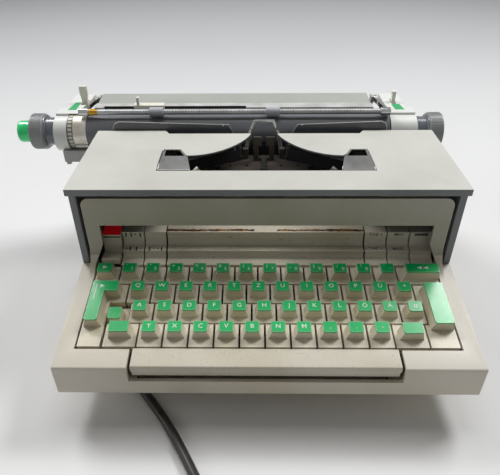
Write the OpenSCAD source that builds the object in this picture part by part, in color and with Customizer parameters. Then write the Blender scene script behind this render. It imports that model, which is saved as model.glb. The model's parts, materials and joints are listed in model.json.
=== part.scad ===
/* [Case] */
// Width of the case and of the keyboard tray
case_w = 309; // [300:1:325]
// Height of the top of the cover above the desk
case_h = 148; // [145:0.5:152]
// Depth of the top cover, front to back
cover_d = 111; // [110:0.5:112]
// Thickness of the top cover slab
cover_t = 6; // [4:0.5:7]
// How far the cover slab stands out past the side walls
cover_lip = 1; // [0:0.25:2]
// Thickness of the side walls of the upper case
side_wall = 5.8; // [3:0.2:7]
// Wall thickness of the lower case
shell_wall = 3; // [2:0.25:4]
// Depth of the case behind the front edge of the cover
case_d = 196; // [194:1:204]
// Height of the rear deck, under the carriage
deck_h = 100; // [97:0.5:100.5]
// Height of the bottom of the lower case above the desk
base_h = 14; // [12:0.5:18]

/* [Keyboard tray] */
// Depth of the tray in front of the cover
tray_d = 95.4; // [93:0.2:98]
// Height of the front top edge of the tray
tray_front_h = 57.5; // [56:0.5:60]
// Height of the underside of the tray
tray_bottom_h = 30; // [27:0.5:32]
// Slope of the tray surface in degrees
tray_angle = 9.63; // [9.2:0.05:10]
// Width of the keyboard opening
opening_w = 283.8; // [283:0.2:286]
// Distance from the tray edge to the keyboard opening, along the slope
opening_front = 16.1; // [15.5:0.1:17]
// Distance of the upright panel behind the front edge of the cover
panel_y = 4.6; // [4.4:0.1:5.2]
// Thickness of the upright panel
panel_t = 3; // [2:0.1:3.6]
// Gap between the upright panel and each side wall
panel_gap = 2.5; // [1.5:0.1:4]
// Height of the bottom edge of the upright panel over the control keys
panel_cut_h = 112.3; // [111:0.1:114]
// Radius of the upright panel's top corners
panel_corner_r = 7; // [3:0.5:10]

/* [Keys] */
// Distance from key to key in a row
key_pitch = 19.05; // [18.9:0.01:19.2]
// Distance from row to row along the slope
row_pitch = 19.3; // [19.1:0.02:19.6]
// Distance of the front row's middle from the tray edge, along the slope
front_row_v = 29.4; // [29.2:0.1:30]
// Width of a key's skirt
skirt_w = 17.5; // [16:0.1:18.3]
// Depth of a key's skirt
skirt_d = 17.8; // [16.5:0.1:18.2]
// Height of a key's skirt
skirt_h = 8; // [6:0.2:8.6]
// Width of the green top plate of a character key
cap_w = 10.3; // [9:0.1:12]
// Depth of the green top plate of a character key
cap_d = 9.3; // [8:0.1:11]
// Height of the key tops above the tray surface
key_rise = 9.4; // [8:0.1:11]
// Thickness of the green top plates
cap_t = 1.4; // [1:0.1:2]
// Corner radius of the green top plates
cap_r = 1.8; // [0.6:0.1:3]
// How much wider the key column is at its foot
column_flare = 3.6; // [1:0.2:5]
// Travel of the keys
key_travel = 3.7; // [3:0.1:4]
// Height of the shift lock's top above the tray surface
lock_rise = 5; // [4:0.1:6]
// Thickness of the steel key levers
lever_t = 1.6; // [1:0.1:1.8]
// Height of the steel key levers
lever_h = 6; // [4:0.2:7]

/* [Space bar] */
// Left end of the space bar
bar_left = -98.4; // [-98.8:0.2:-97]
// Right end of the space bar
bar_right = 95; // [94:0.2:96]
// Gap between the space bar and its notch
bar_gap = 2.4; // [1:0.1:3]
// Height of the bottom of the notch
notch_h = 43.7; // [42:0.1:45]
// Height of the bar's front lip
bar_lip = 4.6; // [3:0.1:6]

/* [Control keys] */
// Width of a control key
control_w = 17.8; // [16:0.1:18]
// Distance from control key to control key
control_pitch = 18.9; // [18.6:0.05:19.5]
// Width of the power switch and of the small key below it
switch_w = 15.2; // [13:0.1:17]
// Diameter of the shaft that carries the control keys
control_shaft_d = 3; // [2:0.1:4]
// Height of that shaft
control_shaft_h = 66; // [65:0.25:67]

/* [Carriage] */
// Width of the carriage over its end covers
carriage_w = 347.6; // [344:0.2:350]
// How far the carriage stands left of the middle at rest
carriage_shift = 28; // [20:0.2:35]
// Distance of the platen axis behind the front edge of the cover
platen_y = 135; // [134.5:0.1:136]
// Height of the platen axis
platen_h = 137; // [136:0.1:138]
// Diameter of the platen
platen_d = 33; // [31:0.2:33.2]
// Height of the top of the carriage end covers
carriage_top_h = 154.6; // [154:0.1:156]
// Diameter of the platen shaft
shaft_d = 8; // [6:0.2:10]
// Diameter of the knobs
knob_d = 34; // [30:0.5:34.6]
// Width of the ribbed part of a knob
knob_w = 12.5; // [10:0.25:16]
// Diameter of the knob hubs
hub_d = 26.8; // [22:0.2:30]
// Diameter of the green push button
button_d = 21; // [16:0.25:24]
// How far the push button stands out
button_out = 14.5; // [8:0.25:18]
// Travel of the push button
button_travel = 4; // [2:0.25:5]
// Travel of the carriage to the left
travel_left = 105; // [80:1:115]
// Travel of the carriage to the right
travel_right = 150; // [120:1:160]

/* [Paper bail] */
// Distance of the bail bar behind the front edge of the cover
bail_y = 130; // [129:0.1:131]
// Height of the bail bar
bail_h = 158.4; // [158:0.1:160]
// Diameter of the bail bar
bail_d = 5.2; // [4:0.2:6]
// Diameter of the bail rollers
bail_roller_d = 9; // [7:0.2:9.6]
// Distance of the bail hinge behind the front edge of the cover
bail_hinge_y = 186; // [182:0.5:187]
// Height of the bail hinge
bail_hinge_h = 150; // [148:0.2:150.4]

/* [Type action] */
// Number of type bars each side of the middle one
bars_each_side = 21; // [12:1:21]
// Angle from type bar to type bar in degrees
bar_step = 2.5; // [2.4:0.05:2.6]
// Thickness of a type bar
bar_t = 1.2; // [0.8:0.1:1.4]
// Length of a type bar from its pivot to its slug
bar_len = 62; // [60:0.5:63]
// Diameter of the ribbon spools
spool_d = 40; // [34:0.5:41]
// Height of the ribbon spools over their flanges
spool_h = 15; // [14:0.2:16]
// Width of the ribbon
ribbon_w = 13; // [10:0.2:13.4]

/* [Drive] */
// Diameter of the motor
motor_d = 62; // [50:1:66]
// Length of the motor
motor_len = 84; // [60:1:100]
// Diameter of the motor pulley
motor_pulley_d = 22; // [18:0.5:26]
// Diameter of the power roll's pulley
roll_pulley_d = 46; // [36:0.5:48]
// Diameter of the power roll
power_roll_d = 28; // [20:0.5:32]

/* [Mains lead] */
// Diameter of the mains lead
lead_d = 7.5; // [6.5:0.1:7.5]
// Loops in each layer of the stored coil
coil_loops = 3; // [2:1:4]

/* [Hidden] */
$fn = 48;

// General clearances: between bodies, of a shaft in its bore, and of a cut past a face
gap = 0.3;
fit = 0.06;
past = 1;

// Case
half_w = case_w / 2;
side_inner = half_w - side_wall;
side_front_y = 4.3;
seam_h = tray_front_h + tan(tray_angle) * (tray_d + side_front_y);
panel_half = side_inner - panel_gap;
cover_bottom_h = case_h - cover_t;
panel_top_h = cover_bottom_h - 4.6;
fillet_r = 22;
window_half = 134.6;
jog_h = 93.6;
jog_foot_h = 77;
cover_sheet_t = 2;
tub_front_y = -12;
step_half = 91.5;
step_in = 4;
step_back = 6.8;
base_t = 2;
foot_d = 24;
foot_x = 125;
foot_front_y = 12;
foot_rear_y = 178;
foot_h = base_h;
screw_d = 4;
screw_head_d = 8;
screw_head_h = 2.4;

// Tray surface and deck coordinates: u across, v up the slope, w out of it
opening_half = opening_w / 2;
function tray_z(y) = tray_front_h + tan(tray_angle) * (y + tray_d);
function deck_y(v, w) = -tray_d + v * cos(tray_angle) - w * sin(tray_angle);
function deck_z(v, w) = tray_front_h + v * sin(tray_angle) + w * cos(tray_angle);
module on_deck() { translate([0, -tray_d, tray_front_h]) rotate([tray_angle, 0, 0]) children(); }

// Keys
row_count = 4;
rows_v = [for (i = [0:row_count - 1]) front_row_v + i * row_pitch];
row_first_x = [-87.28, -97.16, -101.43, -111.14];
row_keys = [10, 12, 12, 12];
lever_shaft_d = 4;
lever_shaft_y = 80;
lever_shaft_h = 60;
lever_front_y = -65;
lever_front_h = 44;
lever_drop = (lever_shaft_h - lever_front_h) / (lever_shaft_y - lever_front_y);
function lever_mid(y) = lever_shaft_h - lever_drop * (lever_shaft_y - y);
lever_post_w = 6;
post_gap = 0.15;
space_lever_x = [-94.6, 86.7];

// Special keys, as left, right, front and back of the top plate
key_gap = 1.5;
cap_back = 0.6;
skirt_front_v = opening_front + 2.2;
skirt_side = opening_half - 1.6;
lock_x = -116.3;
lock_v = 45.5;
lock_w = 9.8;
lock_d = 10.4;
lock_skirt_w = 14;
lock_skirt_d = 16.5;
shift_left = [-117, -102.5];
shift_right = [99.2, 113.8];
shift_skirt_left = [-121.5, row_first_x[0] - skirt_w / 2 - key_gap];
shift_skirt_right = [row_first_x[0] + (row_keys[0] - 1) * key_pitch + skirt_w / 2 + key_gap, 118];
margin_cap = [-137.4, -125.6];
back_cap = [113.5, 140];
tab_cap = [-137.4, -127.3];
tab_arm_right = -117;
tab_arm_v = [63.6, 73.6];
tab_stem_v = 35.6;
return_cap = [124, 138];
return_v = [33.6, 72.4];
tab_skirt_right = -123.6;

// Control keys: the stepped section, from its front lip up to its back
step_front_y = 0.7;
lip_y = 8.4;
lip_t = 3.2;
step_bottom_h = 64;
step_bottom_y = 4.4;
mid_y = 10.6;
mid_back_y = 16;
top_y = 18.6;
top_back_y = 31;
lip_h = tray_z(step_front_y) + 1.6;
mid_h = 82.6;
mid_back_h = 83.6;
top_h = 96.2;
face_h = 4.6;
low_face_h = 2;
top_back_h = 97.4;
control_shaft_y = 17;
control_gap = 1.5;
strip_half = 82.8;

// Side frames
frame_x = 142.5;
frame_t = 3;
frame_front_y = 34;
frame_rear_y = 188;
well_front_y = 117;
rail_d = 6;
rail_w = 6;
rail_front_y = 126;
rail_rear_y = 180;
rail_top_h = deck_h + rail_d;

// Carriage
cx = -carriage_shift;
car_left = cx - carriage_w / 2;
car_right = cx + carriage_w / 2;
car_front_y = 118;
car_rear_y = 196;
bed_h = rail_top_h + gap;
bed_t = 3.5;
end_cover_r = carriage_top_h - platen_h;
left_cap_w = 12.8;
right_cap_w = 25.2;
end_plate_t = 4;
left_plate_x = car_left + 6;
right_plate_x = car_right - 23;
ring_left = car_left + left_cap_w + gap;
chrome_left = ring_left + 5.4;
platen_left = chrome_left + 13;
platen_right = car_right - right_cap_w - 1.2;
button_seat = 2.2;
button_well = button_seat + button_travel + 1.3;
hub_left_w = 11.4;
hub_right_w = 12;
narrow_in = 5.6;
narrow_y = 151;
plate_top_t = 4.6;
plate_front_y = 136.4;
left_top_right_x = car_left + 25.4;
table_left = car_left + 33.4;
table_right = car_right - 37;
table_front_y = 167;
rail_bar_y = 153;
rail_bar_back_y = 165;
rail_bar_top_h = 154;
rail_bar_t = 5;
groove_left = table_left + 9;
groove_right = -17;
stop_left = -128.5;
stop_w = 30;
bracket_t = 2;
arm_t = 3;
bail_left = car_left + 25.4;
bail_right = car_right - 26.4;
arm_left_x = bail_left + 1;
arm_right_x = bail_right - 1 - arm_t;
bail_cap_len = 9;
bail_cap_d = 7.6;
roller_len = 13;
roller_x = [-102.2, 8.6];
cover_axis_drop = 1.7;
slab_t = 4.6;
lever_hinge_y = 166;
lever_hinge_h = platen_h + 5;
lever_w = 5.4;
lever_top_w = 7.6;
left_lever_x = car_left + 18.6;
right_lever_x = car_right - 17;

// Type action: the axis of the basket, in the plane x = 0
print_y = platen_y - platen_d / 2;
basket_angle = 50;
pivot_a = -25;
pivot_r = 59;
// The basket's own frame: z along its axis, -y out through the middle bar's pivot
module in_basket(phi) {
    translate([0, print_y, platen_h])
        rotate([90 - basket_angle, 0, 0])
            rotate([0, 0, phi])
                children();
}

// Places everything so that the middle of the object's base is the origin
box_left = car_left - hub_left_w - knob_w - button_out;
box_right = car_right + hub_right_w + knob_w;
box_front = -tray_d;
box_rear = case_d;
module place() { translate([-(box_left + box_right) / 2, -(box_front + box_rear) / 2, 0]) children(); }

// A profile given in y and z, drawn along x from x0 to x1
module along_x(x0, x1) {
    translate([x0, 0, 0]) rotate([90, 0, 90]) linear_extrude(x1 - x0) children();
}
module x_rod(x0, x1, y, z, d) {
    translate([x0, y, z]) rotate([0, 90, 0]) cylinder(d = d, h = x1 - x0);
}
// Points of an arc
function arc(cx, cy, r, a0, a1, n = 8) =
    [for (i = [0:n]) [cx + r * cos(a0 + (a1 - a0) * i / n), cy + r * sin(a0 + (a1 - a0) * i / n)]];

// Case
module lower_case_outside() {
    edge = 1.5;
    along_x(-half_w, half_w)
        polygon(concat(
            arc(-tray_d + edge, tray_bottom_h + edge, edge, 270, 180, 4),
            arc(-tray_d + edge, tray_front_h - edge + edge * sin(tray_angle), edge, 180, 90 + tray_angle, 4),
            [[side_front_y, seam_h], [case_d, seam_h], [case_d, base_h], [tub_front_y, base_h],
             [tub_front_y, tray_bottom_h]]));
}
module lower_case_inside() {
    w = shell_wall;
    along_x(-half_w + w, half_w - w)
        polygon([[-tray_d + w, tray_bottom_h + w], [-tray_d + w, tray_z(-tray_d + w) - w],
                 [side_front_y, seam_h - w], [side_front_y, seam_h + past], [case_d - w, seam_h + past],
                 [case_d - w, base_h - past], [tub_front_y + w, base_h - past],
                 [tub_front_y + w, tray_bottom_h + w]]);
}
// Flat panel that rises from the rear edge of the tray, with a fillet at its foot
module upright_panel() {
    top = panel_top_h - panel_corner_r;
    fillet_y = panel_y - fillet_r;
    fillet_h = tray_z(fillet_y) + fillet_r / cos(tray_angle);
    translate([0, panel_y + panel_t, 0]) rotate([90, 0, 0]) linear_extrude(panel_t) {
        translate([-panel_half, seam_h]) square([2 * panel_half, top - seam_h]);
        translate([-panel_half + panel_corner_r, top - past])
            square([2 * (panel_half - panel_corner_r), panel_corner_r + past]);
        for (s = [-1, 1]) translate([s * (panel_half - panel_corner_r), top]) circle(panel_corner_r);
    }
    along_x(-panel_half, panel_half)
        polygon(concat(
            arc(fillet_y, fillet_h, fillet_r, 270 + tray_angle, 360, 10),
            [[panel_y + panel_t, fillet_h], [panel_y + panel_t, seam_h - shell_wall],
             [fillet_y, seam_h - shell_wall - 2]]));
}
module lower_case() {
    color([0.80, 0.77, 0.70]) difference() {
        union() {
            difference() {
                lower_case_outside();
                lower_case_inside();
            }
            upright_panel();
        }
        // keyboard and control key opening
        along_x(-opening_half, opening_half)
            polygon([[deck_y(opening_front, 0), deck_z(opening_front, -9)],
                     [deck_y(opening_front, 0), seam_h], [panel_y + panel_t + past, seam_h],
                     [panel_y + panel_t + past, tray_z(panel_y) - 9]]);
        // window in the panel; its sides spread over the fillet to the opening's width
        translate([0, panel_y + panel_t + past, 0]) rotate([90, 0, 0])
            linear_extrude(fillet_r + panel_t + past)
                for (s = [-1, 1])
                    polygon([[-s, seam_h - past], [s * opening_half, seam_h - past],
                             [s * opening_half, jog_foot_h], [s * window_half, jog_h],
                             [s * window_half, panel_cut_h], [-s, panel_cut_h]]);
        // notch for the space bar
        translate([bar_left - bar_gap, -tray_d - past, notch_h])
            cube([bar_right - bar_left + 2 * bar_gap, opening_front + 2 * past, tray_front_h]);
        // way through for the lead's strain relief
        translate([relief_x, tub_front_y - past, relief_h])
            rotate([-90, 0, 0]) cylinder(d = relief_neck_d + 2 * gap, h = shell_wall + 2 * past);
    }
}
module upper_case() {
    deck_t = 3;
    well_rear_y = case_d - side_wall;
    color([0.62, 0.62, 0.60]) {
        for (s = [-1, 1])
            mirror([s < 0 ? 1 : 0, 0, 0])
                along_x(side_inner, half_w)
                    polygon([[side_front_y, seam_h + 0.1], [side_front_y, cover_bottom_h - 0.1],
                             [cover_d, cover_bottom_h - 0.1], [cover_d, deck_h],
                             [case_d, deck_h], [case_d, seam_h + 0.1]]);
        difference() {
            translate([-side_inner - past, card_y + gap, deck_h - deck_t])
                cube([2 * (side_inner + past), case_d - card_y - gap, deck_t]);
            translate([-60, cover_d, deck_h - deck_t - past]) cube([120, 10, deck_t + 2 * past]);
            translate([-frame_x - frame_t - past, well_front_y, deck_h - deck_t - past])
                cube([2 * (frame_x + frame_t + past), well_rear_y - well_front_y, deck_t + 2 * past]);
        }
        translate([-side_inner - past, case_d - shell_wall, seam_h + 0.1])
            cube([2 * (side_inner + past), shell_wall, deck_h - seam_h - 0.1]);
    }
}
// Curve of a cover wing, from the spool guard to the wing's tip
wing = [[66, 58.2], [40, 58.2], [17, 84], [11.6, 104.2]];
function wing_point(t) =
    let (u = 1 - t)
    u * u * u * wing[0] + 3 * u * u * t * wing[1] + 3 * u * t * t * wing[2] + t * t * t * wing[3];
wing_steps = 10;
mouth_front_y = 31.5;
mouth_half = 88.8;
guard_back_y = 68;
guard_top_in = 14;
module cover_outline() {
    half = half_w + cover_lip;
    back_y = cover_d - step_back;
    difference() {
        polygon([[-half, 0], [half, 0], [half, cover_d], [step_half, cover_d],
                 [step_half - step_in, back_y], [-step_half + step_in, back_y], [-step_half, cover_d],
                 [-half, cover_d]]);
        polygon(concat(
            [[mouth_half, mouth_front_y], [mouth_half, guard_back_y],
             [mouth_half - guard_top_in, guard_back_y]],
            [for (i = [0:wing_steps]) wing_point(i / wing_steps)],
            [[wing[3][0], back_y + past], [-wing[3][0], back_y + past]],
            [for (i = [wing_steps:-1:0]) [-wing_point(i / wing_steps)[0], wing_point(i / wing_steps)[1]]],
            [[-mouth_half + guard_top_in, guard_back_y], [-mouth_half, guard_back_y],
             [-mouth_half, mouth_front_y]]));
    }
}
module top_cover() {
    // a thin sheet with a deep rim along its outer edges
    half = half_w + cover_lip;
    color([0.84, 0.84, 0.80]) difference() {
        translate([0, 0, cover_bottom_h]) linear_extrude(cover_t) cover_outline();
        translate([-side_inner, side_front_y + 3, cover_bottom_h - past])
            cube([2 * side_inner, cover_d - step_back - side_front_y - 6, cover_t - cover_sheet_t + past]);
    }
}
module base_plate() {
    inset = shell_wall + gap;
    color([0.35, 0.35, 0.36]) difference() {
        translate([-half_w + inset, tub_front_y + inset, base_h])
            cube([case_w - 2 * inset, case_d - tub_front_y - 2 * inset, base_t]);
        for (x = [-foot_x, foot_x], y = [foot_front_y, foot_rear_y])
            translate([x, y, base_h - past]) cylinder(d = screw_d + 2 * fit, h = base_t + 2 * past);
    }
}
module rubber_feet() {
    color([0.12, 0.12, 0.12]) for (x = [-foot_x, foot_x], y = [foot_front_y, foot_rear_y])
        translate([x, y, 0]) difference() {
            union() {
                cylinder(d = foot_d - 4, h = 3);
                translate([0, 0, 3]) cylinder(d = foot_d, h = foot_h - 3);
            }
            translate([0, 0, -past]) cylinder(d = screw_head_d + 2, h = 5 + past);
            cylinder(d = screw_d + 2 * fit, h = foot_h + past);
        }
}
module base_screws() {
    color([0.7, 0.7, 0.72]) for (x = [-foot_x, foot_x], y = [foot_front_y, foot_rear_y])
        translate([x, y, 5 - screw_head_h]) difference() {
            union() {
                cylinder(d = screw_head_d, h = screw_head_h);
                cylinder(d = screw_d, h = base_h + base_t + 3 - 5 + screw_head_h);
            }
            translate([-screw_head_d / 2 - past, -0.6, -past]) cube([screw_head_d + 2 * past, 1.2, past + 1]);
        }
}

// Keys
// Green plate with its two front corners rounded, its middle at u = 0 and v = 0
module key_plate(w, d, t = cap_t) {
    linear_extrude(t) {
        translate([-w / 2 + cap_r, -d / 2]) square([w - 2 * cap_r, d]);
        translate([-w / 2, -d / 2 + cap_r]) square([w, d - cap_r]);
        for (s = [-1, 1]) translate([s * (w / 2 - cap_r), -d / 2 + cap_r]) circle(cap_r, $fn = 24);
    }
}
// Column that flares towards the skirt at both sides, d deep
module key_column(w, d, h) {
    translate([0, d / 2, 0]) rotate([90, 0, 0]) linear_extrude(d)
        polygon([[-w / 2 - column_flare / 2, 0], [w / 2 + column_flare / 2, 0],
                 [w / 2 - 0.4, h], [-w / 2 + 0.4, h]]);
}
// A character key; its skirt reaches front ahead of its middle
module key_body(front) {
    translate([-skirt_w / 2, -front, -skirt_h]) cube([skirt_w, front + skirt_d / 2, skirt_h]);
    translate([0, cap_back, 0]) {
        key_column(cap_w, cap_d - 0.8, key_rise - cap_t);
        translate([0, 0, key_rise - cap_t]) key_plate(cap_w, cap_d);
    }
}
// Steel lever under a key: a bar to the lever shaft with a post up to the key
module key_lever(x, v) {
    y = deck_y(v, -skirt_h);
    y0 = y - lever_post_w / 2;
    y1 = y + lever_post_w / 2;
    y2 = lever_shaft_y + lever_shaft_d / 2 + 3;
    h = lever_h / 2;
    foot = (skirt_h + post_gap) / cos(tray_angle);
    color([0.66, 0.66, 0.68]) along_x(x - lever_t / 2, x + lever_t / 2) difference() {
        polygon([[y0, lever_mid(y0) - h], [y2, lever_mid(y2) - h], [y2, lever_mid(y2) + h],
                 [y1, lever_mid(y1) + h], [y1, tray_z(y1) - foot], [y0, tray_z(y0) - foot]]);
        translate([lever_shaft_y, lever_shaft_h]) circle(d = lever_shaft_d + 2 * fit);
    }
}
module key_row(r) {
    for (i = [0:row_keys[r] - 1]) {
        x = row_first_x[r] + i * key_pitch;
        color([0.80, 0.76, 0.67]) on_deck() translate([x, rows_v[r], 0])
            key_body(r == 0 ? front_row_v - skirt_front_v : skirt_d / 2);
        key_lever(x, rows_v[r]);
    }
}
module number_row_keys() { key_row(3); }
module upper_row_keys() { key_row(2); }
module home_row_keys() { key_row(1); }
module bottom_row_keys() { key_row(0); }

module skirt_box(x, v0, v1) {
    translate([x[0], v0, -skirt_h]) cube([x[1] - x[0], v1 - v0, skirt_h]);
}
// A key whose plate spans x and v, on a column of the same size
module cap_on(x, v0, v1) {
    translate([(x[0] + x[1]) / 2, (v0 + v1) / 2, 0]) {
        key_column(x[1] - x[0], v1 - v0 - 0.8, key_rise - cap_t);
        translate([0, 0, key_rise - cap_t]) key_plate(x[1] - x[0], v1 - v0);
    }
}
module shift_keys() {
    v = rows_v[0];
    color([0.80, 0.76, 0.67]) on_deck() {
        skirt_box(shift_skirt_left, skirt_front_v, v + skirt_d / 2);
        cap_on(shift_left, v + cap_back - cap_d / 2, v + cap_back + cap_d / 2);
        skirt_box(shift_skirt_right, skirt_front_v, v + skirt_d / 2);
        cap_on(shift_right, v - cap_d / 2, v + cap_d / 2);
    }
    key_lever(-106.3, v);
    key_lever(103.2, v);
}
module shift_lock_key() {
    color([0.80, 0.76, 0.67]) on_deck() translate([lock_x + 1.9, lock_v + 2, 0]) {
        translate([-lock_skirt_w / 2, -lock_skirt_d / 2, -skirt_h])
            cube([lock_skirt_w, lock_skirt_d, skirt_h - 4]);
        translate([-1.9, -2, -4]) key_column(lock_w, lock_d - 0.8, lock_rise + 4 - cap_t);
        translate([-1.9, -2, lock_rise - cap_t]) key_plate(lock_w, lock_d);
    }
    key_lever(-116.2, lock_v);
}
module margin_release_key() {
    v = rows_v[3];
    right = row_first_x[3] - skirt_w / 2 - key_gap;
    color([0.80, 0.76, 0.67]) on_deck() {
        skirt_box([-skirt_side, right], v - skirt_d / 2, v + skirt_d / 2);
        cap_on(margin_cap, v + cap_back - cap_d / 2, v + cap_back + cap_d / 2);
    }
    key_lever(-133, v);
}
module backspace_key() {
    v = rows_v[3];
    left = row_first_x[3] + (row_keys[3] - 1) * key_pitch + skirt_w / 2 + key_gap;
    color([0.80, 0.76, 0.67]) on_deck() {
        skirt_box([left, skirt_side], v - skirt_d / 2, v + skirt_d / 2);
        cap_on(back_cap, v + cap_back - cap_d / 2, v + cap_back + cap_d / 2);
    }
    key_lever(122, v);
}
module tabulator_key() {
    arm_right = row_first_x[2] - skirt_w / 2 - key_gap;
    arm_mid_v = (tab_arm_v[0] + tab_arm_v[1]) / 2;
    arm_d = tab_arm_v[1] - tab_arm_v[0];
    stem_mid_v = (tab_stem_v + tab_arm_v[1]) / 2;
    stem_d = tab_arm_v[1] - tab_stem_v;
    color([0.80, 0.76, 0.67]) on_deck() {
        skirt_box([-skirt_side, arm_right], rows_v[2] - skirt_d / 2, rows_v[2] + skirt_d / 2);
        skirt_box([-skirt_side, tab_skirt_right], skirt_front_v, rows_v[2]);
        cap_on(tab_cap, tab_stem_v, tab_arm_v[1]);
        cap_on([tab_cap[0], tab_arm_right], tab_arm_v[0], tab_arm_v[1]);
    }
    key_lever(-126, rows_v[1]);
}
module return_key() {
    left_upper = row_first_x[2] + (row_keys[2] - 1) * key_pitch + skirt_w / 2 + key_gap;
    left_mid = row_first_x[1] + (row_keys[1] - 1) * key_pitch + skirt_w / 2 + key_gap;
    color([0.80, 0.76, 0.67]) on_deck() {
        skirt_box([left_upper, skirt_side], rows_v[2] - skirt_d / 2, rows_v[2] + skirt_d / 2);
        skirt_box([left_mid, skirt_side], skirt_front_v, rows_v[2]);
        skirt_box([shift_skirt_right[1] + key_gap, skirt_side], skirt_front_v, rows_v[0] + skirt_d / 2);
        cap_on(return_cap, return_v[0], return_v[1]);
    }
    key_lever(132, rows_v[1]);
}
module space_bar() {
    front = -tray_d + 1.4;
    body = -tray_d + shell_wall + 0.4;
    back = deck_y(skirt_front_v, 0) - key_gap;
    bottom = notch_h + 2.8;
    edge = 1.2;
    color([0.82, 0.79, 0.72]) along_x(bar_left, bar_right)
        polygon(concat(
            arc(front + edge, tray_z(front) - edge + edge * sin(tray_angle), edge, 180, 90 + tray_angle, 4),
            [[back, tray_z(back)], [back, bottom], [body, bottom], [body, tray_front_h - bar_lip],
             [front, tray_front_h - bar_lip]]));
    for (x = space_lever_x) {
        y0 = body + 2;
        y1 = y0 + lever_post_w;
        y2 = lever_shaft_y + lever_shaft_d / 2 + 3;
        h = lever_h / 2;
        top = bottom - post_gap;
        color([0.66, 0.66, 0.68]) along_x(x - lever_t / 2, x + lever_t / 2) difference() {
            polygon([[y0, lever_mid(y0) - h], [y2, lever_mid(y2) - h], [y2, lever_mid(y2) + h],
                     [y1, lever_mid(y1) + h], [y1, top], [y0, top]]);
            translate([lever_shaft_y, lever_shaft_h]) circle(d = lever_shaft_d + 2 * fit);
        }
    }
}

// Control keys
// The whole stepped section in y and z, down to the shaft
function cove(y0, z0, y1, z1, n = 5) =
    // a quarter-like hollow from the foot (y0, z0) up to (y1, z1)
    [for (i = [0:n]) let (a = 90 * i / n) [y0 + (y1 - y0) * sin(a), z0 + (z1 - z0) * (1 - cos(a))]];
function stepped_section() = concat(
    [[step_front_y, lip_h - lip_t], [step_front_y, lip_h]],
    cove(lip_y - 2, tray_z(lip_y - 2) + 1.4, mid_y + 0.4, mid_h - low_face_h),
    [[mid_y, mid_h - low_face_h], [mid_y, mid_h]],
    cove(mid_back_y, mid_back_h, top_y + 0.6, top_h - face_h),
    [[top_y, top_h - face_h], [top_y, top_h]],
    [[top_back_y, top_back_h], [top_back_y, step_bottom_h], [step_bottom_y, step_bottom_h],
     [step_bottom_y, lip_h - lip_t]]);
module rocker(x, ear = true) {
    color([0.80, 0.77, 0.69]) along_x(x - control_w / 2, x + control_w / 2) difference() {
        union() {
            polygon(stepped_section());
            translate([control_shaft_y, control_shaft_h]) circle(control_shaft_d / 2 + 1.6);
        }
        translate([control_shaft_y, control_shaft_h]) circle(control_shaft_d / 2 + fit);
    }
}
// Middle of the i-th column, counted outwards from the strip on side s
function control_at(s, i) = s * (strip_half + control_gap + control_w / 2 + i * control_pitch);
switch_x = control_at(-1, 2) + 1.2;
module power_switch() {
    // the upper step alone: the lower step of this column is a key of its own
    color([0.66, 0.10, 0.12]) along_x(switch_x - switch_w / 2, switch_x + switch_w / 2) difference() {
        union() {
            polygon(concat(
                [[mid_y + 0.9, step_bottom_h], [mid_y + 0.9, lip_h + 3]],
                cove(mid_y + 2.4, lip_h + 3.6, mid_back_y, top_h - 2.4),
                [[mid_back_y, top_h - 1.2], [top_back_y - 2.6, top_back_h + 0.6], [top_back_y, top_back_h],
                 [top_back_y, step_bottom_h]]));
            translate([control_shaft_y, control_shaft_h]) circle(control_shaft_d / 2 + 1.6);
        }
        translate([control_shaft_y, control_shaft_h]) circle(control_shaft_d / 2 + fit);
    }
}
module repeat_key() {
    top = lip_h + 4.8;
    color([0.80, 0.77, 0.69]) along_x(switch_x - switch_w / 2, switch_x + switch_w / 2)
        polygon([[step_front_y + 1, lip_h - lip_t + 3], [step_front_y + 1, top - 1], [step_front_y + 2, top],
                 [mid_y + 0.4, top + 0.4], [mid_y + 0.4, lip_h - lip_t + 3]]);
    // stem that slides in the guide between the shafts
    color([0.66, 0.66, 0.68]) translate([switch_x - 2, step_bottom_y + 1, step_bottom_h - 4])
        cube([4, 3, lip_h - lip_t + 3 - step_bottom_h + 4 - 0.1]);
}
module line_space_rocker() { rocker(control_at(-1, 1)); }
module spacing_rocker() { rocker(control_at(-1, 0)); }
module tab_rocker() { rocker(control_at(1, 0)); }
module impression_rocker() { rocker(control_at(1, 1)); }
module ribbon_rocker() { rocker(control_at(1, 2)); }
module control_strip() {
    color([0.74, 0.72, 0.66]) along_x(-strip_half, strip_half) difference() {
        union() {
            polygon(stepped_section());
            translate([control_shaft_y, control_shaft_h]) circle(control_shaft_d / 2 + 1.6);
        }
        translate([control_shaft_y, control_shaft_h]) circle(control_shaft_d / 2 + fit);
    }
}

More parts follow.
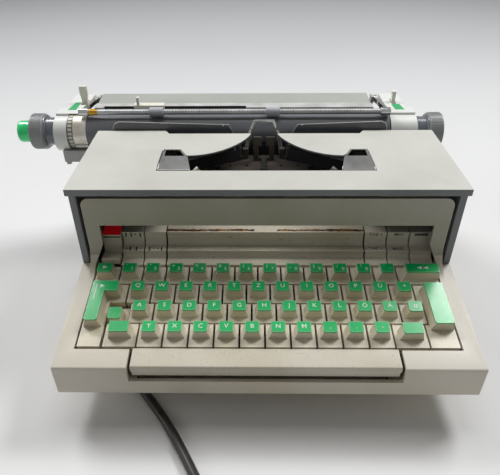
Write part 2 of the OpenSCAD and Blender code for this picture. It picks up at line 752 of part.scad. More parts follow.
// Frames and shafts
spool_x = 87;
spool_y = 56;
spool_bottom_h = case_h - 30;
shelf_h = spool_bottom_h - 3;
spool_pin_d = 5;
winding_d = 28;
card_lug_h = 132;
module side_frames() {
    color([0.55, 0.56, 0.58]) for (s = [-1, 1]) mirror([s < 0 ? 1 : 0, 0, 0]) {
        difference() {
            along_x(frame_x, frame_x + frame_t)
                polygon([[10, base_h + base_t + 0.1], [frame_rear_y, base_h + base_t + 0.1],
                         [frame_rear_y, deck_h], [well_front_y + gap, deck_h],
                         [well_front_y + gap, deck_h - 3 - gap], [card_y - 0.1, deck_h - 3 - gap],
                         [card_y - 0.1, card_lug_h],
                         [card_y - 10, card_lug_h], [card_y - 10, deck_h], [frame_front_y + 50, deck_h],
                         [frame_front_y + 40, shelf_h], [frame_front_y, shelf_h],
                         [frame_front_y, control_shaft_h + 4], [10, control_shaft_h + 4]]);
            x_rod(frame_x - past, frame_x + frame_t + past, lever_shaft_y, lever_shaft_h,
                  lever_shaft_d + 2 * fit);
            x_rod(frame_x - past, frame_x + frame_t + past, control_shaft_y, control_shaft_h,
                  control_shaft_d + 2 * fit);
            x_rod(frame_x - past, frame_x + frame_t + past, roll_y, roll_h, roll_shaft_d + 2 * fit);
        }
        // lug for the end of the card plate
        translate([frame_x - 8, card_y - 10, card_lug_h - 12]) cube([8 + past, 9.9, 12]);
        // shelf and pin for the ribbon spool
        translate([spool_x - 8, spool_y - 10, shelf_h - 2]) cube([frame_x - spool_x + 8 + past, 20, 2]);
        translate([spool_x, spool_y, shelf_h - 2]) cylinder(d = spool_pin_d, h = spool_h + 7);
        // foot flange on the base plate
        translate([frame_x - 10, 20, base_h + base_t + 0.1]) cube([12, 150, 2]);
    }
}
module cross_shafts() {
    end = frame_x + frame_t + 1.5;
    color([0.75, 0.75, 0.78]) {
        x_rod(-end, end, lever_shaft_y, lever_shaft_h, lever_shaft_d);
        x_rod(-end, end, control_shaft_y, control_shaft_h, control_shaft_d);
    }
}
module carriage_rails() {
    end = frame_x + frame_t;
    color([0.72, 0.72, 0.74]) for (y = [rail_front_y, rail_rear_y])
        translate([-end, y - rail_w / 2, deck_h + 0.1]) cube([2 * end, rail_w, rail_d - 0.1]);
}

// Type action
seg_in = pivot_r - 5;
seg_out = pivot_r + 8;
seg_t = 9;
fan_half = bars_each_side * bar_step;
module sector(r0, r1, h, a) {
    // ring sector about z, open towards +y, a each side of -y
    difference() {
        cylinder(r = r1, h = h, $fn = 96);
        translate([0, 0, -past]) cylinder(r = r0, h = h + 2 * past, $fn = 96);
        for (s = [-1, 1]) rotate([0, 0, s * a]) translate([s < 0 ? -2 * r1 : 0, -r1 - past, -past])
            cube([2 * r1, 2 * r1 + 2 * past, h + 2 * past]);
        translate([-r1 - past, 0, -past]) cube([2 * (r1 + past), r1 + past, h + 2 * past]);
    }
}
module type_segment() {
    slot_w = bar_t + 2 * gap;
    color([0.32, 0.33, 0.36]) {
        difference() {
            union() {
                in_basket(0) translate([0, 0, pivot_a - seg_t / 2]) sector(seg_in, seg_out, seg_t, fan_half + 6);
                // cross bar between the side frames, with two feet under the segment
                translate([-frame_x + 0.1, bridge_y, bridge_h]) cube([2 * frame_x - 0.2, 12, bridge_t]);
                for (s = [-1, 1]) translate([s * 30 - 3, bridge_y, bridge_h]) cube([6, 12, bridge_t + 3.5]);
            }
            for (i = [-bars_each_side:bars_each_side])
                in_basket(i * bar_step) translate([-slot_w / 2, -pivot_r - 4.8, pivot_a - 3.3])
                    cube([slot_w, 15, seg_t + 6]);
        }
        // fulcrum wire through the slots
        for (i = [-bars_each_side:bars_each_side])
            in_basket(i * bar_step) x_rod(-slot_w / 2 - 0.3, slot_w / 2 + 0.3, -pivot_r, pivot_a, wire_d);
    }
}
bridge_y = 86.5;
bridge_h = 68.5;
bridge_t = 8;
wire_d = 1;
// One type bar in its own plane, from its pivot up along y
rest_tilt = 106.5;
slug_len = 7;
slug_w = 5.8;
slug_t = 2.6;
module bar_shape() {
    linear_extrude(bar_t, center = true) difference() {
        union() {
            circle(3);
            translate([-1.6, 0]) square([3.2, bar_len - slug_len + 1]);
        }
        circle(wire_d / 2 + fit, $fn = 24);
    }
    translate([-slug_w / 2, bar_len - slug_len, -slug_t / 2]) cube([slug_w, slug_len, slug_t]);
}
module bar_at(phi) {
    in_basket(phi) translate([0, -pivot_r, pivot_a]) rotate([rest_tilt, 0, 0]) rotate([0, 90, 0]) bar_shape();
}
module type_bars() {
    color([0.74, 0.74, 0.74]) for (i = [1:bars_each_side], s = [-1, 1]) bar_at(s * i * bar_step);
}
module middle_type_bar() { color([0.74, 0.74, 0.74]) bar_at(0); }

guide_y = 104;
guide_plate_h = 118;
guide_plate_t = 2;
pillar_x = 51.5;
pillar_foot_h = 102.3;
post_x = 24;
post_y = 106.6;
post_d = 4;
card_y = cover_d + 1.2;
card_t = 1.3;
vibrator_y = card_y + card_t + 0.5;
vibrator_t = 1;
module type_guide() {
    color([0.36, 0.34, 0.33]) {
        difference() {
            union() {
                translate([0, 0, guide_plate_h]) linear_extrude(guide_plate_t)
                    polygon([[-38, 72], [38, 72], [43, guide_y], [pillar_x + 3, guide_y],
                             [pillar_x + 3, card_y - 0.1], [-pillar_x - 3, card_y - 0.1],
                             [-pillar_x - 3, guide_y], [-43, guide_y]]);
                translate([-9.8, guide_y, guide_plate_h]) cube([19.6, 2, 26]);
                // ears behind the vibrator and posts for the ribbon
                for (s = [-1, 1]) {
                    translate([s * 17.5 - 2.5, guide_y + 4, guide_plate_h]) cube([5, vibrator_y - gap - guide_y - 4, 12]);
                    translate([s * post_x, post_y, guide_plate_h]) cylinder(d = post_d, h = 18);
                    // feet on the ends of the segment
                    translate([s * pillar_x - 2.5, guide_y + 1, pillar_foot_h])
                        cube([5, card_y - guide_y - 2, guide_plate_h - pillar_foot_h + past]);
                }
            }
            // slot that the type bars swing through, and the square window
            translate([-3.2, 60, guide_plate_h - past]) cube([6.4, guide_y - 60, guide_plate_t + 2 * past]);
            translate([-2.2, guide_y - 3, guide_plate_h - past]) cube([4.4, 12, 40]);
            translate([-5, guide_y - past, 123]) cube([10, 4, 12]);
            for (x = [-32, -16, 16, 32]) translate([x, 94, guide_plate_h - past]) cylinder(d = 3.2, h = 4);
        }
    }
}
module ribbon_vibrator() {
    top_h = 156.6;
    foot_h = spool_bottom_h + 0.5;
    color([0.80, 0.80, 0.82]) translate([0, vibrator_y + vibrator_t, 0]) rotate([90, 0, 0]) linear_extrude(vibrator_t)
        difference() {
            polygon([[-9.3, top_h], [9.3, top_h], [15, 144], [20, foot_h], [-20, foot_h], [-15, 144]]);
            polygon([[-7.6, top_h - 2.4], [7.6, top_h - 2.4], [12.6, 143.4], [15.4, foot_h - past],
                     [-15.4, foot_h - past], [-12.6, 143.4]]);
        }
}
module card_plates() {
    color([0.25, 0.26, 0.28]) for (x = [[-141.2, -28], [26, 114]]) {
        inner = x[0] < 0 ? x[1] : x[0];
        outer = x[0] < 0 ? x[0] : x[1];
        s = x[0] < 0 ? 1 : -1;
        translate([0, card_y + card_t, 0]) rotate([90, 0, 0]) linear_extrude(card_t)
            polygon([[outer, guide_plate_h], [inner, guide_plate_h], [inner, platen_h + 7],
                     [inner - s * 5, platen_h + 16], [outer + s * 6, platen_h + 19],
                     [outer + s * 1.5, platen_h + 17], [outer, platen_h + 13]]);
    }
}
module spool_guards() {
    rise = 5;
    wall = 1.2;
    foot = cover_bottom_h - 2;
    // seen from above, the inner side leans towards the rear
    module plan() {
        polygon([[-mouth_half + 0.5, 20], [-mouth_half + 27.6, 20], [-mouth_half + 27.6, mouth_front_y],
                 [-mouth_half + 24.4, 46], [-mouth_half + 17.6, 60], [-mouth_half + 13.4, guard_back_y],
                 [-mouth_half + 0.5, guard_back_y]]);
    }
    module section(d) {
        polygon([[mouth_front_y + 0.6 + d, foot - past], [mouth_front_y + 0.6 + d, case_h + 0.3 - d],
                 [46.3 + d / 2, case_h + rise - d], [60 - d / 2, case_h + rise - d],
                 [guard_back_y - 1 - d, case_h + 0.3 - d], [guard_back_y - 1 - d, foot - past]]);
    }
    module front_shape(d) {
        // narrower at the top than at the foot
        polygon([[-mouth_half + 0.5 + d, foot - 2], [-mouth_half + 27.5 - d, foot - 2],
                 [-mouth_half + 27.5 - d, case_h], [-mouth_half + 25 - d, case_h + rise],
                 [-mouth_half + 3 + d, case_h + rise], [-mouth_half + 0.5 + d, case_h]]);
    }
    color([0.85, 0.85, 0.87]) for (s = [-1, 1]) mirror([s > 0 ? 1 : 0, 0, 0]) {
        difference() {
            intersection() {
                along_x(-mouth_half, -mouth_half + 30) section(0);
                translate([0, 90, 0]) rotate([90, 0, 0]) linear_extrude(80) front_shape(0);
                translate([0, 0, foot - 2]) linear_extrude(20) plan();
            }
            intersection() {
                along_x(-mouth_half, -mouth_half + 30) section(wall);
                translate([0, 90, 0]) rotate([90, 0, 0]) linear_extrude(80) front_shape(wall);
                translate([-wall, 0, foot - 2]) linear_extrude(20) plan();
            }
            translate([-mouth_half - past, 0, foot - 2 * past]) cube([40, 100, 2 * past]);
            // window over the spool
            translate([0, 0, case_h]) linear_extrude(rise + past)
                polygon([[-mouth_half + 5, 47.6], [-mouth_half + 21.6, 47.6], [-mouth_half + 16, 59],
                         [-mouth_half + 5, 59]]);
        }
        // flange under the cover
        translate([0, 0, case_h - cover_sheet_t - 1.1]) linear_extrude(1) difference() {
            translate([-mouth_half - 4, mouth_front_y - 4]) square([19, guard_back_y - mouth_front_y + 8]);
            translate([-mouth_half + 1.5, mouth_front_y + 1.6])
                square([12.5, guard_back_y - mouth_front_y - 3.6]);
        }
    }
}
module ribbon_spool(s) {
    color([0.20, 0.20, 0.22]) translate([s * spool_x, spool_y, spool_bottom_h]) difference() {
        union() {
            cylinder(d = spool_d, h = 0.8);
            translate([0, 0, spool_h - 0.8]) cylinder(d = spool_d, h = 0.8);
            cylinder(d = winding_d, h = spool_h);
        }
        translate([0, 0, -past]) cylinder(d = spool_pin_d + 2 * fit, h = spool_h + 2 * past);
        for (a = [0:120:240]) rotate([0, 0, a]) translate([8.5, 0, spool_h - 3]) cylinder(d = 4, h = 4);
    }
}
module left_ribbon_spool() { ribbon_spool(-1); }
module right_ribbon_spool() { ribbon_spool(1); }
module ribbon() {
    t = 0.3;
    z = spool_bottom_h + (spool_h - ribbon_w) / 2 + 1.3;
    back_y = vibrator_y + vibrator_t + gap + t;
    // the ribbon goes round the front and the inner side of the post
    wrap = post_d / 2 + 0.15;
    turn = [post_x - wrap / 2, post_y - 0.9 * wrap];
    // tangent point on the winding of the spool
    to = turn - [spool_x, spool_y];
    reach = winding_d / 2 + 0.1;
    a = atan2(to[1], to[0]) - acos(reach / norm(to));
    end = [spool_x + reach * cos(a), spool_y + reach * sin(a)];
    color([0.06, 0.06, 0.07]) translate([0, 0, z]) linear_extrude(ribbon_w - 1.8)
        for (s = [-1, 1])
            polygon([[0, back_y], [s * 21.6, back_y], [s * (post_x - wrap), post_y - 0.2 * wrap],
                     [s * turn[0], turn[1]], [s * end[0], end[1] + t], [s * end[0], end[1]],
                     [s * (turn[0] - 0.1), turn[1] - t], [s * (post_x - wrap - t), post_y - 0.3 * wrap],
                     [s * 21.3, back_y - t], [0, back_y - t]]);
}

// Drive
motor_y = 152;
motor_h = 54;
motor_x0 = -20;
motor_shaft_d = 6;
roll_y = 108;
roll_h = 42;
roll_shaft_d = 8;
belt_x = 96;
belt_w = 8;
belt_t = 1.6;
module motor() {
    color([0.30, 0.31, 0.33]) {
        difference() {
            union() {
                x_rod(motor_x0, motor_x0 + motor_len, motor_y, motor_h, motor_d);
                // cradle to the base plate
                for (x = [motor_x0 + 8, motor_x0 + motor_len - 16])
                    translate([x, motor_y - 24, base_h + base_t + 0.1]) cube([8, 48, motor_h - base_h - base_t - 10]);
                x_rod(motor_x0 + motor_len - past, motor_x0 + motor_len + 6, motor_y, motor_h, 16);
            }
            x_rod(motor_x0 + motor_len - 10, motor_x0 + motor_len + 10, motor_y, motor_h, motor_shaft_d + 2 * fit);
        }
    }
}
module motor_pulley() {
    color([0.68, 0.68, 0.70]) {
        x_rod(motor_x0 + motor_len - 8, belt_x + belt_w + 4, motor_y, motor_h, motor_shaft_d);
        x_rod(belt_x - 1, belt_x + belt_w + 1, motor_y, motor_h, motor_pulley_d);
        x_rod(belt_x - 2.4, belt_x - 1, motor_y, motor_h, motor_pulley_d + 5);
        x_rod(belt_x + belt_w + 1, belt_x + belt_w + 2.4, motor_y, motor_h, motor_pulley_d + 5);
    }
}
module power_roll() {
    end = frame_x + frame_t + 1.5;
    color([0.50, 0.51, 0.53]) {
        x_rod(-end, end, roll_y, roll_h, roll_shaft_d);
        x_rod(-frame_x + 8, belt_x - 8, roll_y, roll_h, power_roll_d);
        x_rod(belt_x - 1, belt_x + belt_w + 1, roll_y, roll_h, roll_pulley_d);
    }
}
// Belt outline in y and z: two arcs joined by their outer tangents
module belt_outline(d) {
    r0 = roll_pulley_d / 2 + d;
    r1 = motor_pulley_d / 2 + d;
    dy = motor_y - roll_y;
    dz = motor_h - roll_h;
    dist = sqrt(dy * dy + dz * dz);
    lean = atan2(dz, dy);
    side = acos((r0 - r1) / dist);
    translate([roll_y, roll_h]) {
        circle(r0, $fn = 72);
        translate([dy, dz]) circle(r1, $fn = 72);
        polygon([[r0 * cos(lean + side), r0 * sin(lean + side)],
                 [dy + r1 * cos(lean + side), dz + r1 * sin(lean + side)],
                 [dy, dz],
                 [dy + r1 * cos(lean - side), dz + r1 * sin(lean - side)],
                 [r0 * cos(lean - side), r0 * sin(lean - side)], [0, 0]]);
    }
}
module drive_belt() {
    color([0.10, 0.10, 0.11]) along_x(belt_x, belt_x + belt_w) difference() {
        belt_outline(gap + belt_t);
        belt_outline(gap);
    }
}

// Carriage
bed_top_h = bed_h + bed_t;
module carriage_frame() {
    bed_left = left_plate_x;
    bed_right = car_right - 8;
    color([0.58, 0.59, 0.60]) {
        difference() {
            union() {
                translate([bed_left, car_front_y + 13, bed_h])
                    cube([bed_right - bed_left, car_rear_y - car_front_y - 21, bed_t]);
                translate([bed_left + 36, car_front_y, bed_h]) cube([bed_right - bed_left - 36, 14, bed_t]);
                translate([bed_left, car_front_y, bed_h + 5.6]) cube([bed_right - bed_left, 3, 11.6]);
                translate([bed_left + 36, car_front_y, bed_h]) cube([bed_right - bed_left - 36, 3, 8]);
                translate([bed_left, car_rear_y - 11, bed_h]) cube([bed_right - bed_left, 3, 30]);
                for (x = [left_plate_x, right_plate_x])
                    along_x(x, x + end_plate_t)
                        polygon([[car_front_y + 4, bed_h + 1], [car_rear_y - 9, bed_h + 1],
                                 [car_rear_y - 9, carriage_top_h - plate_top_t - 1],
                                 [platen_y + 7, carriage_top_h - plate_top_t - 1],
                                 [platen_y + 7, platen_h + 8], [platen_y, platen_h + 9.6],
                                 [car_front_y + 6.4, platen_h + 2], [car_front_y + 4, platen_h - 1]]);
                for (x = [arm_left_x + arm_t + 1.2, arm_right_x - 1.2 - bracket_t])
                    along_x(x, x + bracket_t)
                        polygon([[bail_hinge_y - 5, bed_h + 1], [bail_hinge_y + 4, bed_h + 1],
                                 [bail_hinge_y + 4, bail_hinge_h + 4], [bail_hinge_y - 5, bail_hinge_h + 4]]);
                x_rod(arm_left_x - 1, arm_left_x + arm_t + 1.3, bail_hinge_y, bail_hinge_h, 4);
                x_rod(arm_right_x - 1.3, arm_right_x + arm_t + 1, bail_hinge_y, bail_hinge_h, 4);
            }
            x_rod(left_plate_x - past, left_plate_x + end_plate_t + past, platen_y, platen_h, shaft_d + 2 * fit);
            x_rod(right_plate_x - past, right_plate_x + end_plate_t + past, platen_y, platen_h, shaft_d + 2 * fit);
            for (x = [left_plate_x, right_plate_x])
                x_rod(x - past, x + end_plate_t + past, lever_hinge_y, lever_hinge_h, 3 + 2 * fit);
        }
    }
}
// Section of an end cover in y and z: round over the knob with a slab on top, drawn in by d
module end_section(back, d = 0) {
    top = carriage_top_h - d;
    r = end_cover_r - 0.4 - d;
    axis_h = platen_h - cover_axis_drop;
    translate([platen_y, axis_h]) circle(r, $fn = 72);
    polygon([[plate_front_y + d, top], [back - d, top], [back - d, bed_h + 12], [platen_y, bed_h + 12],
             [platen_y, axis_h + r], [plate_front_y + d, axis_h + r]]);
}
module left_end_cover() {
    color([0.74, 0.74, 0.70]) difference() {
        union() {
            along_x(car_left, car_left + left_cap_w) end_section(narrow_y);
            translate([car_left + narrow_in, narrow_y - past, carriage_top_h - plate_top_t])
                cube([left_top_right_x - car_left - narrow_in, 190 - narrow_y + past, plate_top_t]);
            translate([car_left + left_cap_w - past, plate_front_y, carriage_top_h - plate_top_t])
                cube([left_top_right_x - car_left - left_cap_w + past, narrow_y - plate_front_y, plate_top_t]);
        }
        // pocket for the end plate of the frame
        along_x(left_plate_x - gap, car_left + left_cap_w + past) end_section(narrow_y + 10, slab_t);
        translate([left_plate_x - gap, car_front_y + 3.6, bed_h]) cube([20, 66, platen_h - bed_h + gap]);
        translate([left_plate_x - gap, car_front_y - past, bed_h]) cube([20, 70, 12 + past]);
        x_rod(car_left - past, left_plate_x, platen_y, platen_h, shaft_d + 1.4);
        // slot for the lever
        translate([left_lever_x - 0.6, lever_hinge_y - 7, carriage_top_h - plate_top_t - past])
            cube([lever_w + 1.2, 14, plate_top_t + 2 * past]);
        // the top plate stays clear of the line scale ring and the platen
        x_rod(car_left + left_cap_w, left_top_right_x + past, platen_y, platen_h, platen_d + 1.4);
    }
}
module right_end_cover() {
    left = car_right - right_cap_w;
    color([0.74, 0.74, 0.70]) difference() {
        union() {
            along_x(left, car_right) end_section(narrow_y);
            translate([left, narrow_y - past, carriage_top_h - plate_top_t])
                cube([right_cap_w - narrow_in, 190 - narrow_y + past, plate_top_t]);
        }
        along_x(left - past, car_right - 4) end_section(narrow_y + 10, slab_t);
        translate([left - past, car_front_y - past, bed_h]) cube([right_cap_w + 2 * past, 70, 12 + past]);
        translate([left - past, car_front_y + 3.6, bed_h])
            cube([right_cap_w + past - 4, 66, platen_h - bed_h + gap]);
        x_rod(left - past, car_right + past, platen_y, platen_h, shaft_d + 1.4);
        translate([right_lever_x - 0.6, lever_hinge_y - 7, carriage_top_h - plate_top_t - past])
            cube([4.6, 14, plate_top_t + 2 * past]);
    }
}
module paper_table() {
    color([0.60, 0.61, 0.60]) along_x(table_left, table_right)
        polygon([[table_front_y, carriage_top_h - 3.2], [table_front_y, carriage_top_h - 2],
                 [car_rear_y - 8, carriage_top_h - 0.2], [car_rear_y - 4, carriage_top_h - 0.2],
                 [car_rear_y - 4, bed_h + 2], [car_rear_y - 6, bed_h + 2],
                 [car_rear_y - 6, carriage_top_h - 2.2], [car_rear_y - 8, carriage_top_h - 1.8]]);
}
module margin_rail() {
    color([0.78, 0.78, 0.78]) difference() {
        translate([table_left, rail_bar_y, rail_bar_top_h - rail_bar_t])
            cube([table_right - table_left, rail_bar_back_y - rail_bar_y, rail_bar_t]);
        translate([groove_left, rail_bar_y - past, rail_bar_top_h - 2.6])
            cube([groove_right - groove_left, 4 + past, 2.6 + past]);
    }
    // posts down to the bed
    color([0.78, 0.78, 0.78]) for (x = [table_left + 2, (table_left + table_right) / 2, table_right - 8])
        translate([x, rail_bar_back_y - 5, bed_top_h + 0.1])
            cube([6, 4, rail_bar_top_h - rail_bar_t - bed_top_h]);
}
module margin_stop() {
    color([0.88, 0.87, 0.82]) {
        translate([stop_left, rail_bar_y + gap, rail_bar_top_h - 2.6 + gap]) cube([stop_w, 3.4, 4.2]);
        translate([stop_left, rail_bar_y - 1.2, rail_bar_top_h + gap]) cube([stop_w, 8, 2.2]);
        translate([stop_left + 3.2, rail_bar_y - 1, rail_bar_top_h + gap]) cube([2.6, 4, 10]);
    }
}
module bail_arm(x) {
    along_x(x, x + arm_t) difference() {
        union() {
            translate([bail_hinge_y, bail_hinge_h]) circle(4);
            translate([bail_y, bail_h]) circle(bail_d / 2 + 0.6);
            translate([bail_hinge_y, bail_hinge_h])
                rotate(atan2(bail_h - bail_hinge_h, bail_y - bail_hinge_y))
                    translate([0, -2.2])
                        square([norm([bail_y - bail_hinge_y, bail_h - bail_hinge_h]), 4.4]);
        }
        translate([bail_hinge_y, bail_hinge_h]) circle(2 + fit);
    }
}
module paper_bail() {
    color([0.80, 0.80, 0.80]) {
        difference() {
            union() {
                x_rod(bail_left, bail_right, bail_y, bail_h, bail_d);
                x_rod(bail_left, bail_left + bail_cap_len, bail_y, bail_h, bail_cap_d);
                x_rod(bail_right - bail_cap_len, bail_right, bail_y, bail_h, bail_cap_d);
                bail_arm(arm_left_x);
                bail_arm(arm_right_x);
            }
        }
    }
}
module bail_rollers() {
    color([0.66, 0.68, 0.70]) for (x = roller_x) difference() {
        x_rod(x - roller_len / 2, x + roller_len / 2, bail_y, bail_h, bail_roller_d);
        x_rod(x - roller_len, x + roller_len, bail_y, bail_h, bail_d + 2 * fit);
    }
}
module platen() {
    color([0.20, 0.21, 0.23]) difference() {
        x_rod(platen_left + 0.1, platen_right, platen_y, platen_h, platen_d);
        x_rod(platen_left - past, platen_right + past, platen_y, platen_h, platen_d - 6);
    }
}
module platen_shaft() {
    color([0.82, 0.82, 0.84]) {
        x_rod(car_left - hub_left_w - knob_w + button_well + 0.2, car_right + hub_right_w + knob_w - 3.4, platen_y, platen_h, shaft_d);
        x_rod(chrome_left + 0.1, platen_left, platen_y, platen_h, platen_d);
        x_rod(ring_left, chrome_left, platen_y, platen_h, platen_d - 0.6);
        x_rod(platen_left - past, platen_right, platen_y, platen_h, platen_d - 6.2);
    }
}
module knob(outer) {
    // built along +z from its inner face, hub first
    hub_w = outer > 0 ? hub_right_w : hub_left_w;
    rotate_extrude($fn = 72) difference() {
        union() {
            square([hub_d / 2, hub_w - gap]);
            translate([0, hub_w - gap - 1.6]) square([knob_d / 2 - 1.2, 2]);
            translate([0, hub_w - gap]) square([knob_d / 2, knob_w]);
        }
        square([shaft_d / 2 + fit, outer > 0 ? hub_w + knob_w - 3.5 : hub_w + knob_w + past]);
        if (outer < 0)
            translate([0, hub_w + knob_w - gap - button_well]) square([button_d / 2 + 0.1, button_well + past]);
    }
}
module platen_knobs() {
    color([0.42, 0.43, 0.45]) {
        translate([car_right + gap, platen_y, platen_h]) rotate([0, 90, 0]) knob(1);
        translate([car_left - gap, platen_y, platen_h]) rotate([0, -90, 0]) knob(-1);
    }
}
module platen_push_button() {
    inner = car_left - hub_left_w - knob_w;
    color([0.0, 0.62, 0.32]) x_rod(inner - button_out, inner + button_seat, platen_y, platen_h, button_d);
}
module post_lever(x, w, top_h) {
    along_x(x, x + w) polygon([[lever_hinge_y - 1.8, lever_hinge_h], [lever_hinge_y + 1.8, lever_hinge_h],
                               [lever_hinge_y + 2.6, top_h], [lever_hinge_y - 1.4, top_h]]);
}
module carriage_release_lever() {
    x = left_lever_x;
    mid = x + lever_w / 2;
    color([0.90, 0.89, 0.82]) {
        post_lever(x, lever_w, carriage_top_h + 4);
        // broad tip
        translate([0, lever_hinge_y + 2.4, 0]) rotate([90, 0, 0]) linear_extrude(3.6)
            polygon([[x, carriage_top_h + 3], [x + lever_w, carriage_top_h + 3],
                     [mid + lever_top_w / 2, carriage_top_h + 9], [mid + lever_top_w / 2, 171.4],
                     [mid - lever_top_w / 2, 171.4], [mid - lever_top_w / 2, carriage_top_h + 9]]);
        x_rod(left_plate_x, x + lever_w, lever_hinge_y, lever_hinge_h, 3);
    }
}
module paper_release_lever() {
    x = right_lever_x;
    color([0.90, 0.89, 0.82]) {
        post_lever(x, 3.4, 164);
        translate([x + 1.7, lever_hinge_y + 0.8, 162.4]) cylinder(d = 5, h = 2.6);
        x_rod(right_plate_x, x + 3.4, lever_hinge_y, lever_hinge_h, 3);
    }
}

// Mains lead: it leaves the tub under the tray and lies on the desk
relief_x = -114.3;
relief_h = 20;
relief_neck_d = 8;
relief_len = 24;
relief_end_y = tub_front_y - relief_len;
lead_h = lead_d / 2 + 0.05;
lead_route = [
    [-114.3, relief_end_y, 20], [-114.3, -42, 19.4], [-113.2, -48, 17], [-110.6, -54.5, 13],
    [-107, -60.5, 8.8], [-102.6, -66.5, 5.6], [-98.2, -72.2, 4.1], [-94, -77.6, lead_h],
    [-85.4, -88.7, lead_h], [-77.2, -100, lead_h], [-70.2, -110.5, lead_h], [-63.6, -121.4, lead_h],
    [-57.4, -132.2, lead_h], [-51.4, -143, lead_h], [-45.6, -153.6, lead_h], [-39.8, -164.2, lead_h],
    [-34, -174.8, lead_h], [-28.2, -185.4, lead_h]];
lead_sides = 8;
// Sweeps a tube of the given sides along points
function unit(v) = v / norm(v);
function tangent(p, i) =
    i == 0 ? unit(p[1] - p[0]) :
    i == len(p) - 1 ? unit(p[i] - p[i - 1]) : unit(unit(p[i + 1] - p[i]) + unit(p[i] - p[i - 1]));
function tube_ring(c, t, r, n) =
    let (across = unit(cross(t, [0, 0, 1])), up = cross(across, t))
    [for (k = [0:n - 1]) let (a = 360 * (k + 0.5) / n) c + r * (across * cos(a) + up * sin(a))];
module tube(p, r, n) {
    rings = len(p);
    points = [for (i = [0:rings - 1]) each tube_ring(p[i], i == rings - 1 && n == lead_sides ? coil_entry_dir :
              i == 0 && n == lead_sides ? [0, -1, 0] : tangent(p, i), r, n)];
    sides = [for (i = [0:rings - 2], k = [0:n - 1])
        let (a = i * n + k, b = i * n + (k + 1) % n) each [[a, b, b + n], [a, b + n, a + n]]];
    caps = [for (k = [1:n - 2]) each [[0, k + 1, k],
        [(rings - 1) * n, (rings - 1) * n + k, (rings - 1) * n + k + 1]]];
    polyhedron(points = points, faces = [for (f = concat(sides, caps)) [f[0], f[2], f[1]]], convexity = 6);
}
function path_length(p) = [for (i = 0, s = 0; i < len(p) - 1; s = s + norm(p[i + 1] - p[i]), i = i + 1)
    s + norm(p[i + 1] - p[i])][len(p) - 2];

// Stored coil: it winds in on the desk and out again one layer up
coil_pitch = lead_d + 0.7;
coil_mid_r = 5.5 * lead_d;
coil_rings = 24;
coil_sides = 6;
lead_end = lead_route[len(lead_route) - 1];
coil_entry_dir = unit(lead_end - lead_route[len(lead_route) - 2]);
coil_outer_r = coil_mid_r + coil_pitch * coil_loops / 2;
coil_straight = lead_d;
coil_start = lead_end + coil_entry_dir * coil_straight;
coil_side = [coil_entry_dir[1], -coil_entry_dir[0], 0];
coil_centre = coil_start + coil_side * coil_outer_r;
coil_start_angle = atan2(-coil_side[1], -coil_side[0]);
coil_turn = 360 * coil_loops;
function smooth(t) = t <= 0 ? 0 : t >= 1 ? 1 : t * t * (3 - 2 * t);
function coil_point(a) =
    // a runs from 0 through the reversal at coil_turn to twice that, clockwise from above
    let (back = abs(a - coil_turn) / 360,
         r = coil_mid_r - coil_pitch * coil_loops / 2 + coil_pitch * back,
         z = coil_pitch * smooth((a - coil_turn + 90) / 180),
         q = coil_start_angle - a)
    coil_centre + [r * cos(q), r * sin(q), z];
coil_winding = [for (i = [0:2 * coil_loops * coil_rings]) coil_point(i * 360 / coil_rings)];
coil_exit = coil_winding[len(coil_winding) - 1];
coil_exit_dir = unit([cos(coil_start_angle - 2 * coil_turn - 90), sin(coil_start_angle - 2 * coil_turn - 90), 0]);
tail_len = 84;
tail_drop = coil_pitch - 3.5;
tail_steps = 14;
tail = [for (i = [1:tail_steps])
    coil_exit + coil_exit_dir * tail_len * i / tail_steps - [0, 0, tail_drop * smooth((i - 5) / 8)]];
coil_path = concat([lead_end], coil_winding, tail);
// Least distance between stretches of the coil that are more than half a loop apart
coil_gap = min([for (i = [0:len(coil_path) - 1], j = [i + floor(coil_rings / 2):1:len(coil_path) - 1])
    norm(coil_path[i] - coil_path[j])]) - lead_d;
lead_total = path_length(lead_route) + path_length(coil_path) + relief_len;
echo(coil_gap = coil_gap, lead_total = lead_total);
module mains_lead() { color([0.34, 0.34, 0.33]) tube(lead_route, lead_d / 2, lead_sides); }
module lead_coil() { color([0.34, 0.34, 0.33]) tube(coil_path, lead_d / 2, coil_sides); }
module strain_relief() {
    color([0.15, 0.15, 0.15]) translate([relief_x, tub_front_y, relief_h]) rotate([90, 0, 0])
        rotate_extrude() polygon([[0, -6], [relief_neck_d / 2, -6], [relief_neck_d / 2, 0.3],
                                  [7.5, 0.3], [7.5, 3], [6, 3.5], [lead_d / 2 + 0.6, relief_len], [0, relief_len]]);
}
plug_len = 36;
plug_t = 13.4;
plug_w = 26;
pin_len = 19;
module mains_plug() {
    at = coil_path[len(coil_path) - 1];
    color([0.16, 0.16, 0.16]) translate(at) rotate([0, 0, atan2(coil_exit_dir[1], coil_exit_dir[0])]) {
        translate([0, 0, 0]) rotate([0, 90, 0]) cylinder(d = 11, h = 12);
        translate([10, 0, -plug_t / 2]) linear_extrude(plug_t)
            polygon([[0, -8], [8, -plug_w / 2], [plug_len - 10, -plug_w / 2], [plug_len - 10, plug_w / 2],
                     [8, plug_w / 2], [0, 8]]);
        for (s = [-1, 1]) translate([plug_len - 1, s * 9.5, 0]) rotate([0, 90, 0]) cylinder(d = 4.8, h = pin_len);
    }
}

